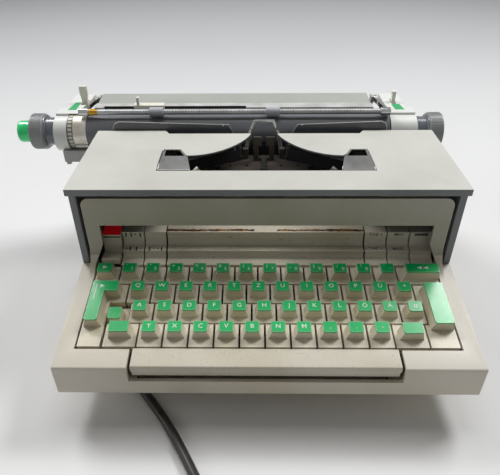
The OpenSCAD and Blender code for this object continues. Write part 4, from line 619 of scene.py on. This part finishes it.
def panel_face(middle, normal):
    """The faces of the upright panel, above its fillet."""
    x, y, z = in_mm(middle)
    return 1 if z > PANEL_FOOT_H and abs(y - PANEL_Y) < PANEL_REACH else 0


dressed("lower_case", "lower_case_moulding", [tray_abs, panel_shade_abs], 1.3, panel_face)


# Control strip and control keys
# A stepped moulding closes the row between the control keys; a strip that was once glued to its
# top has left brown residue. The keys rock on one shaft and carry printed green marks.
strip_abs = moulded("strip_abs", "#D2CBB9", "#C2B9A2", gloss=0.36, grime=0.5)
# the residue, in metres: its line and how far it wanders, its least and most reach, and its gap
GLUE_Y, GLUE_WANDER = -0.0290, 0.002
GLUE_REACH = (0.0004, 0.0022)
GLUE_GAP_X, GLUE_HALF_GAP = 0.0355, 0.0095
tree = strip_abs.node_tree
shader = next(n for n in tree.nodes if n.type == "BSDF_PRINCIPLED")
clean = shader.inputs["Base Color"].links[0].from_socket
place = add(tree, "ShaderNodeTexCoord").outputs["Object"]
spot = add(tree, "ShaderNodeSeparateXYZ", {0: place}).outputs
long_way = add(tree, "ShaderNodeMapping", {"Vector": place, "Scale": (1000 / 16, 1000 / 5, 1000 / 5)})
wander = add(tree, "ShaderNodeTexNoise", {"Vector": long_way, "Scale": 1, "Detail": 5, "Roughness": 0.7})
crumbs = add(tree, "ShaderNodeTexNoise", {"Vector": place, "Scale": 1000 / 3, "Detail": 3})
middle = add(tree, "ShaderNodeMapRange", {"Value": wander, "To Min": GLUE_Y - GLUE_WANDER,
             "To Max": GLUE_Y + GLUE_WANDER})
off = add(tree, "ShaderNodeMath", {0: add(tree, "ShaderNodeMath", {0: spot["Y"], 1: middle},
          operation="SUBTRACT")}, operation="ABSOLUTE")
reach = add(tree, "ShaderNodeMapRange", {"Value": crumbs, "From Min": 0.25, "From Max": 0.75,
            "To Min": GLUE_REACH[0], "To Max": GLUE_REACH[1]})
smear = add(tree, "ShaderNodeMath", {0: off, 1: reach}, operation="LESS_THAN")
aside = add(tree, "ShaderNodeMath", {0: spot["X"], 1: GLUE_GAP_X}, operation="SUBTRACT")
apart = add(tree, "ShaderNodeMath", {0: add(tree, "ShaderNodeMath", {0: aside}, operation="ABSOLUTE"),
            1: GLUE_HALF_GAP}, operation="GREATER_THAN")
glue = add(tree, "ShaderNodeMath", {0: smear, 1: apart}, operation="MULTIPLY")
gold = add(tree, "ShaderNodeMapRange", {"Value": crumbs, "From Min": 0.52, "From Max": 0.66})
brown = add(tree, "ShaderNodeMix", {0: gold, 6: srgb("#33150A"), 7: srgb("#B4802E")}, data_type="RGBA")
stained = add(tree, "ShaderNodeMix", {0: glue, 6: clean, 7: brown}, data_type="RGBA")
feed(tree, shader, {"Base Color": stained})
dressed("control_strip", "control_strip_moulding", [strip_abs], 0.35)

rocker_abs = moulded("control_key_abs", "#DCD6C6", "#CDC4AE", gloss=0.36, grime=0.45)
ROCKERS = ("line_space_rocker", "spacing_rocker", "tab_rocker", "impression_rocker", "ribbon_rocker")
for node in ROCKERS:
    dressed(node, node + "_moulding", [rocker_abs], 0.35)

red_abs = moulded("switch_red_abs", "#FF2E3E", "#F02231", gloss=0.3, dirt="#5A060A", grime=0.15)
ivory_abs = moulded("ivory_abs", "#E6E2D2", "#D8D1BA", gloss=0.3)
# the red face glows faintly: painted light that brightens it in the shade of the cover
red_glow_shader = next(n for n in red_abs.node_tree.nodes if n.type == "BSDF_PRINCIPLED")
red_glow_shader.inputs["Emission Color"].default_value = srgb("#F01020")
red_glow_shader.inputs["Emission Strength"].default_value = 0.09
# heights at which the lens and its rims begin
LENS_H, LENS_RIM_H = 94.8, 93.6


def switch_face(middle, normal):
    """The upper face is the red lens, and the rims before and behind it are ivory."""
    height = in_mm(middle)[2]
    if normal.z > 0.7 and height > LENS_H:
        return 1
    return 2 if abs(normal.y) > 0.9 and height > LENS_RIM_H else 0


dressed("power_switch", "power_switch_moulding", [rocker_abs, red_abs, ivory_abs], 0.35,
        switch_face)
dressed("repeat_key", "repeat_key_moulding", [rocker_abs], 0.4)


def printed(name, colour, worn):
    """Screen-printed ink, matt and slightly uneven, rubbed thin in spots."""
    material, tree, shader, place = bare_finish(name, {"Roughness": 0.6, "IOR": 1.48})
    rub = add(tree, "ShaderNodeTexNoise", {"Vector": place, "Scale": 1000 / 2.5, "Detail": 4})
    thin = add(tree, "ShaderNodeMapRange", {"Value": rub, "From Min": 0.5, "From Max": 0.75, "To Max": 0.5})
    tone = add(tree, "ShaderNodeMix", {0: thin, 6: srgb(colour), 7: srgb(worn)}, data_type="RGBA")
    feed(tree, shader, {"Base Color": tone})
    return material


# printed ink: half its thickness, how far it spreads, and how high it lies over the surface
INK, INK_SPREAD, INK_RISE = 0.02, 0.01, 0.03


def lettering(name, marks, finish, body):
    """Flat printed marks of one body, each given as text, its place and its size in millimetres."""
    joined = bmesh.new()
    for text, place, size in marks:
        curve = bpy.data.curves.new("mark", "FONT")
        curve.body = text
        curve.size = size / 1000
        curve.resolution_u = 3
        curve.extrude = INK / 1000
        curve.offset = INK_SPREAD / 1000
        curve.align_x = curve.align_y = "CENTER"
        mark = bpy.data.objects.new("mark", curve)
        mesh = bpy.data.meshes.new_from_object(mark)
        mesh.transform(place)
        joined.from_mesh(mesh)
        bpy.data.objects.remove(mark)
    bmesh.ops.remove_doubles(joined, verts=joined.verts, dist=1e-7)
    return piece_from(joined, name, finish, body)


green_ink = printed("green_ink", "#1F4A38", "#5E7A68")
white_ink = printed("white_ink", "#F1F3EC", "#BFE0CC")
MARK_SIZE = 4.3
FACE_Y, FACE_MID_H = 18.6, 93.9
SHELF_Y, SHELF_H, SHELF_TILT = 13.2, 83.12, math.radians(10.5)
CONTROL_MARKS = {
    "line_space_rocker": (-112.1, "▮▮▪ ▮", "▪▮ ▮▪"), "spacing_rocker": (-93.2, "", "▮▪ ▪▮"),
    "tab_rocker": (93.2, "TAB +", "TAB −"), "impression_rocker": (112.1, "MIN", "MAX")}
for node, (x, upper, lower) in CONTROL_MARKS.items():
    marks = []
    for text, spot, tilt in ((upper, (x, FACE_Y - INK_RISE, FACE_MID_H), math.pi / 2),
                             (lower, (x, SHELF_Y, SHELF_H + INK_RISE), SHELF_TILT)):
        if text:
            marks.append((text, Matrix.Translation(at(*spot)) @ Matrix.Rotation(tilt, 4, "X"), MARK_SIZE))
    lettering(node + "_marks", marks, green_ink, body_of[node])

# A dark inlay in the face of the ribbon key, a green line under the switch's red face.
INLAY_EDGE = 0.12
for name, node, low, high, finish in (
        ("ribbon_key_inlay", "ribbon_rocker", (125.4, FACE_Y - 0.05, 92.6), (137.0, FACE_Y + 0.3, 95.2),
         black_abs),
        ("switch_green_line", "power_switch", (-137.0, 15.55, 92.5), (-122.6, 15.9, 93.7), green_ink)):
    shape = bmesh.new()
    bmesh.ops.create_cube(shape, size=1)
    middle, size = (at(*low) + at(*high)) / 2, at(*high) - at(*low)
    shape.transform(Matrix.Translation(middle) @ Matrix.Diagonal((*size, 1)))
    bmesh.ops.bevel(shape, geom=shape.edges[:], offset=INLAY_EDGE / 1000, segments=1, affect="EDGES")
    piece_from(shape, name, finish, body_of[node])


# Keys
# Each key is a beige moulding with a skirt and a flared column, on a steel lever; its top is a
# glossy green plate moulded in the same shot round a white character.
TRAY_ANGLE = math.radians(9.63)
TRAY_FOOT_Y, TRAY_FOOT_H = -95.4, 57.5
key_abs = moulded("key_abs", "#E4DDCA", "#D6CCB2", gloss=0.34, grime=0.3)
key_green = moulded("key_green_abs", "#0ABF67", "#07B05E", gloss=0.2, dirt="#046B38", grime=0.25)
LEVER_TOP_W = -8.05
PLATE_FOOT_W, LOCK_PLATE_FOOT_W = 7.95, 3.55


def over_tray(point):
    """Height of a point over the sloping tray surface, in millimetres."""
    x, y, z = in_mm(point)
    return (z - TRAY_FOOT_H) * math.cos(TRAY_ANGLE) - (y - TRAY_FOOT_Y) * math.sin(TRAY_ANGLE)


def on_tray(u, v, w):
    """Place of a mark on the tray's slope: u across, v up the slope, w out of it, millimetres."""
    return (Matrix.Translation(at(0, TRAY_FOOT_Y, TRAY_FOOT_H)) @
            Matrix.Rotation(TRAY_ANGLE, 4, "X") @ Matrix.Translation(Vector((u, v, w)) / 1000))


def key_face(middle, normal, foot=PLATE_FOOT_W):
    """Green for the plate, above foot, and steel for the lever below the tray."""
    w = over_tray(middle)
    return 1 if w > foot else 2 if w < LEVER_TOP_W else 0


KEYS = {"number_row_keys": "number_row_mouldings", "upper_row_keys": "upper_row_mouldings",
        "home_row_keys": "home_row_mouldings", "bottom_row_keys": "bottom_row_mouldings",
        "shift_keys": "shift_key_mouldings", "margin_release_key": "margin_release_moulding",
        "backspace_key": "backspace_moulding", "tabulator_key": "tabulator_moulding",
        "return_key": "return_moulding"}
for node, name in KEYS.items():
    dressed(node, name, [key_abs, key_green, bright_steel], 0.5, key_face)
dressed("shift_lock_key", "shift_lock_moulding", [key_abs, key_green, bright_steel], 0.45,
        lambda middle, normal: key_face(middle, normal, LOCK_PLATE_FOOT_W))

KEY_PITCH = 19.05
CAP_TOP = 9.4 + INK_RISE
# signs on a cap: how far across and up from its middle, and their size
LETTER, NUMBER, SHIFTED = (0, 0.2, 5.3), (2.2, -1.3, 4.6), (-2.2, 1.6, 4.2)
ROWS = (
    ("number_row_keys", -111.14, 87.9, "1234567890ß´", "'\"+%&()_§/?`"),
    ("upper_row_keys", -101.43, 68.6, "QWERTZUIOPÜ+", ""),
    ("home_row_keys", -97.16, 49.3, "ASDFGHJKLÖÄ#", ""),
    ("bottom_row_keys", -87.28, 30.0, "YXCVBNM,.-", ""))
for node, first_x, v, letters, shifted in ROWS:
    marks = []
    for i, letter in enumerate(letters):
        signs = ((letter, NUMBER), (shifted[i], SHIFTED)) if shifted else ((letter, LETTER),)
        for sign, (across, up, size) in signs:
            marks.append((sign, on_tray(first_x + i * KEY_PITCH + across, v + up, CAP_TOP), size))
    lettering(node + "_letters", marks, white_ink, body_of[node])


def thicken(shape, by):
    """Gives the flat faces of a mark a second side, moved by a vector, and closes it."""
    copied = bmesh.ops.extrude_face_region(shape, geom=shape.faces[:])
    corners = [part for part in copied["geom"] if isinstance(part, bmesh.types.BMVert)]
    bmesh.ops.translate(shape, verts=corners, vec=by)
    bmesh.ops.recalc_face_normals(shape, faces=shape.faces)


# Arrows: a filled triangle that points along angle, and the tabulator's long line.
ARROW = [(-1.7, -1.7), (2.1, 0), (-1.7, 1.7)]
TAB_LINE = [(-134.1, 54.6), (-133.5, 54.6), (-133.5, 69.6), (-134.1, 69.6)]
for node, arrows in (("margin_release_key", [(-131.2, 87.9, 0)]),
                     ("backspace_key", [(124.2, 87.9, 180), (129.4, 87.9, 180)]),
                     ("tabulator_key", [(-129.4, 68.2, 0)])):
    shape = bmesh.new()
    for u, v, angle in arrows:
        turned = on_tray(u, v, CAP_TOP) @ Matrix.Rotation(math.radians(angle), 4, "Z")
        shape.faces.new([shape.verts.new(turned @ Vector((x / 1000, y / 1000, 0))) for x, y in ARROW])
    if node == "tabulator_key":
        shape.faces.new([shape.verts.new(on_tray(u, v, CAP_TOP).translation) for u, v in TAB_LINE])
    thicken(shape, on_tray(0, 0, INK_RISE).translation - on_tray(0, 0, 0).translation)
    piece_from(shape, node + "_arrows", white_ink, body_of[node])

bar_abs = moulded("space_bar_abs", "#D8D1C1", "#CBC2AB", gloss=0.34)
# the steel of its lever is below this height
BAR_LEVER_H = 46.4
dressed("space_bar", "space_bar_moulding", [bar_abs, bright_steel], 0.6,
        lambda middle, normal: 1 if in_mm(middle)[2] < BAR_LEVER_H else 0)


# Upper case and top cover
# The walls are steel plate in grey enamel. The cover is a sheet steel pressing, pale on its upward
# faces and grey on all others, partly a grey rim and partly painted shade, with chromed guards over
# the ribbon spools.
wall_enamel = painted("wall_enamel", "#76797C", "#6C6F72", gloss=0.4)
# the cover's pale edge colour is a painted highlight along its rims
cover_enamel = painted("cover_enamel", "#D8D8D1", "#CACAC1", gloss=0.46, chip_and_highlight="#F4F4F0", chip_and_highlight_share=0.8)
dressed("upper_case", "upper_case_walls", [wall_enamel], 0.7)
# faces of the cover that don't face up take the grey wall enamel: partly a grey rim, partly painted shade
dressed("top_cover", "top_cover_pressing", [cover_enamel, wall_enamel], 0.8,
        lambda middle, normal: 0 if normal.z > 0.3 else 1)
dressed("spool_guards", "spool_guards_chromed", [chrome], 0.5)


# Carriage frame, rails and end covers
# The frame is folded steel on two ground rails. The end covers are die castings in pale grey
# enamel, round over the knobs, and each has a green mark beside its lever.
carriage_enamel = painted("carriage_enamel", "#B9BBB8", "#ACAEAB", gloss=0.36)
end_enamel = painted("end_cover_enamel", "#EDEFEB", "#E4E6E1", gloss=0.36)
rail_metal = plated("ground_rail_steel", "#C4C4C2", 0.2)
dressed("carriage_rails", "carriage_rail_bars", [rail_metal], 0.4)
dressed("carriage_frame", "carriage_frame_folded", [carriage_enamel], 0.5)
for side in ("left", "right"):
    dressed(side + "_end_cover", side + "_end_cover_casting", [end_enamel], 0.6)

mark_green = moulded("mark_green_film", "#35B56F", "#2FAA66", gloss=0.4, dirt="#1E7A45", grime=0.2)
COVER_TOP_H = 154.6
# the green film: its top over the cover, and its thickness
FILM_RISE, FILM = 0.12, 0.15
for name, outline in (
        ("left_green_mark", [(-193.0, 145.7), (-184.4, 145.6), (-184.2, 165.6), (-190.2, 165.6)]),
        ("right_green_mark", [(128.0, 144.2), (137.2, 144.1), (135.2, 159.0), (127.2, 159.0)])):
    shape = bmesh.new()
    shape.faces.new([shape.verts.new(at(x, y, COVER_TOP_H + FILM_RISE)) for x, y in outline])
    thicken(shape, (0, 0, -FILM / 1000))
    piece_from(shape, name, mark_green, "carriage")


# Platen, its rings and knobs
# The platen is a rubber cylinder on a steel shaft, with a chromed ring and a black line scale
# ring at its left. The knobs are ribbed grey mouldings on dark hubs, with a green button outside.
PLATEN_Y, PLATEN_H = 135, 137
RING_LEFT, CHROME_LEFT, PLATEN_LEFT = -188.7, -183.3, -170.3
RING_SHAFT_R = 6
ring_black = moulded("ring_black_abs", "#1D1E20", "#27282B", gloss=0.35)
platen_rubber = rubber("platen_rubber", "#6C6E74", "#7A7C80", rough=0.34)
warm_chrome = plated("ring_chrome", "#FBF6EA", 0.26, scratch=(1000 / 2, 1000 / 30, 1000 / 30))
dressed("platen", "platen_roller", [platen_rubber], 0.4)


def shaft_face(middle, normal):
    """Black where the line scale is, warm chrome on the ring beside it, bright steel elsewhere."""
    x = in_mm(middle)[0]
    if from_axis(middle, PLATEN_Y, PLATEN_H) < RING_SHAFT_R:
        return 0
    return 1 if RING_LEFT - SLACK < x < CHROME_LEFT - SLACK else 2 if x < PLATEN_LEFT + SLACK else 0


dressed("platen_shaft", "platen_shaft_turned", [bright_steel, ring_black, warm_chrome], 0.3,
        shaft_face)

# Blocks that stand in a circle round the platen's axis: ribs of the knobs, segments of the scale.
tree, given, made = section_tree("blocks_in_circle", (
    ("count", "Int"), ("radius", "Float"), ("width", "Float"),
    ("depth", "Float"), ("length", "Float"), ("finish", "Material")))
spots = add(tree, "GeometryNodePoints", {"Count": given["count"]})
share = add(tree, "ShaderNodeMath", {0: add(tree, "GeometryNodeInputIndex"), 1: given["count"]},
            operation="DIVIDE")
turn = add(tree, "ShaderNodeMath", {0: share, 1: 2 * math.pi}, operation="MULTIPLY")
aside = add(tree, "ShaderNodeMath", {0: add(tree, "ShaderNodeMath", {0: turn}, operation="COSINE"),
            1: given["radius"]}, operation="MULTIPLY")
above = add(tree, "ShaderNodeMath", {0: add(tree, "ShaderNodeMath", {0: turn}, operation="SINE"),
            1: given["radius"]}, operation="MULTIPLY")
where = add(tree, "ShaderNodeCombineXYZ", {"Y": aside, "Z": above})
placed = add(tree, "GeometryNodeSetPosition", {"Geometry": spots, "Position": where})
block = add(tree, "GeometryNodeMeshCube", {"Size": add(tree, "ShaderNodeCombineXYZ", {
    "X": given["width"], "Y": given["depth"], "Z": given["length"]})})
standing = add(tree, "GeometryNodeInstanceOnPoints", {
    "Points": placed, "Instance": block,
    "Rotation": add(tree, "ShaderNodeCombineXYZ", {"X": turn})})
end_tree(tree, given, made, standing)

grown("line_scale_segments", tree, {"count": 26, "radius": 0.01619, "width": 0.0040, "depth": 0.0001,
      "length": 0.0028, "finish": ivory_abs}, "platen",
      Matrix.Translation(at((RING_LEFT + CHROME_LEFT) / 2, PLATEN_Y, PLATEN_H)))

KNOB_R, KNOB_W, HUB_LEFT_W, HUB_RIGHT_W = 17, 12.5, 11.4, 12
CAR_LEFT, CAR_RIGHT = -201.8, 145.8
knob_abs = moulded("knob_abs", "#989B9E", "#898C8F", gloss=0.34)
hub_abs = moulded("hub_abs", "#6E757C", "#62686F", gloss=0.2, coat=0.3)


def knob_face(middle, normal):
    """The hub between the end cover and the ribbed grip is darker and glossier than the grip."""
    x = in_mm(middle)[0]
    grip = x > CAR_RIGHT + HUB_RIGHT_W - SLACK or x < CAR_LEFT - HUB_LEFT_W + SLACK
    return 0 if grip else 1


# degrees up to which a bend of a round piece stays smooth
ROUND_CREASE = 50
dressed("platen_knobs", "platen_knobs_moulded", [knob_abs, hub_abs], 0.9, knob_face,
        crease=ROUND_CREASE)
RIBS, RIB_H, RIB_W, RIB_SUNK = 72, 0.35, 0.7, 0.1
GRIP_EDGE = 1.2
for name, x in (("left_knob_ribs", CAR_LEFT - HUB_LEFT_W - KNOB_W / 2),
                ("right_knob_ribs", CAR_RIGHT + HUB_RIGHT_W + KNOB_W / 2)):
    grown(name, tree, {"count": RIBS, "radius": (KNOB_R - RIB_SUNK) / 1000,
          "width": (KNOB_W - 2 * GRIP_EDGE) / 1000, "depth": 2 * RIB_H / 1000, "length": RIB_W / 1000,
          "finish": knob_abs}, "platen", Matrix.Translation(at(x, PLATEN_Y, PLATEN_H)))

button_green = moulded("button_green_abs", "#12EE88", "#0CDD7A", gloss=0.22, dirt="#056B3A", grime=0.2,
                       coat=0.5)
dressed("platen_push_button", "push_button_moulded", [button_green], 2.6,
        crease=ROUND_CREASE)


# Paper table, margin rail and stop
# A grey enamelled table leads the paper down behind the platen; on the aluminium rail before it
# an ivory stop slides in a black groove.
table_enamel = painted("table_enamel", "#B4B6B0", "#A9ABA5", gloss=0.38)
aluminium = plated("satin_aluminium", "#FAFBFA", 0.4, scratch=(1000 / 60, 1000 / 0.8, 1000 / 0.8),
                   metal=0.15)
groove_black = moulded("groove_black", "#141415", "#1D1D1E", gloss=0.5)
RAIL_TOP_H = 154
# the black groove lies behind the one and above the other
GROOVE_Y, GROOVE_H = 154, 150


def groove_face(middle, normal):
    """Black in the groove: its floor under the rail's top, and its rear wall."""
    x, y, z = in_mm(middle)
    on_floor = normal.z > 0.5 and GROOVE_H < z < RAIL_TOP_H - SLACK
    on_wall = normal.y < -0.5 and y > GROOVE_Y and z > GROOVE_H
    return 1 if on_floor or on_wall else 0


dressed("paper_table", "paper_table_sheet", [table_enamel], 0.4)
dressed("margin_rail", "margin_rail_bar", [aluminium, groove_black], 0.25, groove_face)
ivory_gloss = moulded("lever_ivory_abs", "#FBF8EC", "#F2EDDC", gloss=0.28)
dressed("margin_stop", "margin_stop_moulded", [ivory_gloss], 0.35)


# Paper bail
# A steel bar on two arms presses the paper to the platen with its rollers; it carries a printed
# scale, chromed end caps and a brass pointer ring.
BAIL_Y, BAIL_H, BAIL_R = 130, 158.4, 2.6
bail_metal = plated("bail_bar_satin", "#ECEEF0", 0.32, metal=0.5)
roller_rubber = rubber("bail_roller_rubber", "#B4B8BD", "#BFC2C6", rough=0.5)
dressed("paper_bail", "paper_bail_bar", [bail_metal, chrome], 0.4,
        lambda middle, normal: 1 if from_axis(middle, BAIL_Y, BAIL_H) > BAIL_R + SLACK else 0)
dressed("bail_rollers", "bail_rollers_moulded", [roller_rubber], 0.5)

# Scale: ticks of the typing pitch along the bar, every fifth one longer.
tree, given, made = section_tree("ticks_in_row", (
    ("count", "Int"), ("pitch", "Float"), ("width", "Float"),
    ("height", "Float"), ("depth", "Float"), ("finish", "Material")))
step = add(tree, "ShaderNodeCombineXYZ", {"X": given["pitch"]})
spots = add(tree, "GeometryNodeMeshLine", {"Count": given["count"], "Offset": step})
left_over = add(tree, "ShaderNodeMath", {0: add(tree, "GeometryNodeInputIndex"), 1: 5.0},
                operation="MODULO")
long_one = add(tree, "ShaderNodeMath", {0: left_over, 1: 0.5}, operation="LESS_THAN")
stretch = add(tree, "ShaderNodeMath", {0: long_one, 1: 0.7, 2: 1.0}, operation="MULTIPLY_ADD")
block = add(tree, "GeometryNodeMeshCube", {"Size": add(tree, "ShaderNodeCombineXYZ", {
    "X": given["width"], "Y": given["depth"], "Z": given["height"]})})
ticks = add(tree, "GeometryNodeInstanceOnPoints", {
    "Points": spots, "Instance": block,
    "Scale": add(tree, "ShaderNodeCombineXYZ", {"X": 1.0, "Y": 1.0, "Z": stretch})})
end_tree(tree, given, made, ticks)

black_ink = printed("black_ink", "#26282C", "#4C4F54")
TICK_TILT = math.radians(-38)
TICK_SUNK = 0.02
tick_turn = Matrix.Rotation(TICK_TILT, 4, "X")
tick_out = tick_turn @ Vector((0, -(BAIL_R - TICK_SUNK), 0))
grown("bail_scale_ticks", tree, {"count": 97, "pitch": 0.00254, "width": 0.0005, "height": 0.0011,
      "depth": 0.0001, "finish": black_ink}, "paper_bail",
      Matrix.Translation(at(-150, BAIL_Y, BAIL_H) + tick_out / 1000) @ tick_turn)

brass = plated("brass_ring", "#E3B048", 0.26)
# the ring's outside, each point as a place along the bar and a radius
PROFILE = [(-166.4, 3.3), (-164.0, 3.3), (-158.6, 2.64)]
BORE_R = BAIL_R + 0.01
SIDES = 24
ANGLES = [2 * math.pi * i / SIDES for i in range(SIDES)]
shape = bmesh.new()
loops = [[shape.verts.new(at(x, BAIL_Y + r * math.cos(a), BAIL_H + r * math.sin(a))) for a in ANGLES]
         for x, r in [(PROFILE[0][0], BORE_R)] + PROFILE + [(PROFILE[-1][0], BORE_R)]]
for a, b in zip(loops, loops[1:] + loops[:1]):
    for i in range(SIDES):
        shape.faces.new([a[i], a[(i + 1) % SIDES], b[(i + 1) % SIDES], b[i]])
bmesh.ops.recalc_face_normals(shape, faces=shape.faces)
for face in shape.faces:
    face.smooth = True
ring = piece_from(shape, "bail_brass_ring", brass, "paper_bail")
ring.data.set_sharp_from_angle(angle=math.radians(40))


# Levers at the ends of the carriage
# Ivory mouldings that rise through slots in the end covers: a broad one at the left frees the
# carriage, a post at the right frees the paper.
dressed("carriage_release_lever", "carriage_release_moulded", [ivory_gloss], 0.6)
dressed("paper_release_lever", "paper_release_moulded", [ivory_gloss], 0.5)
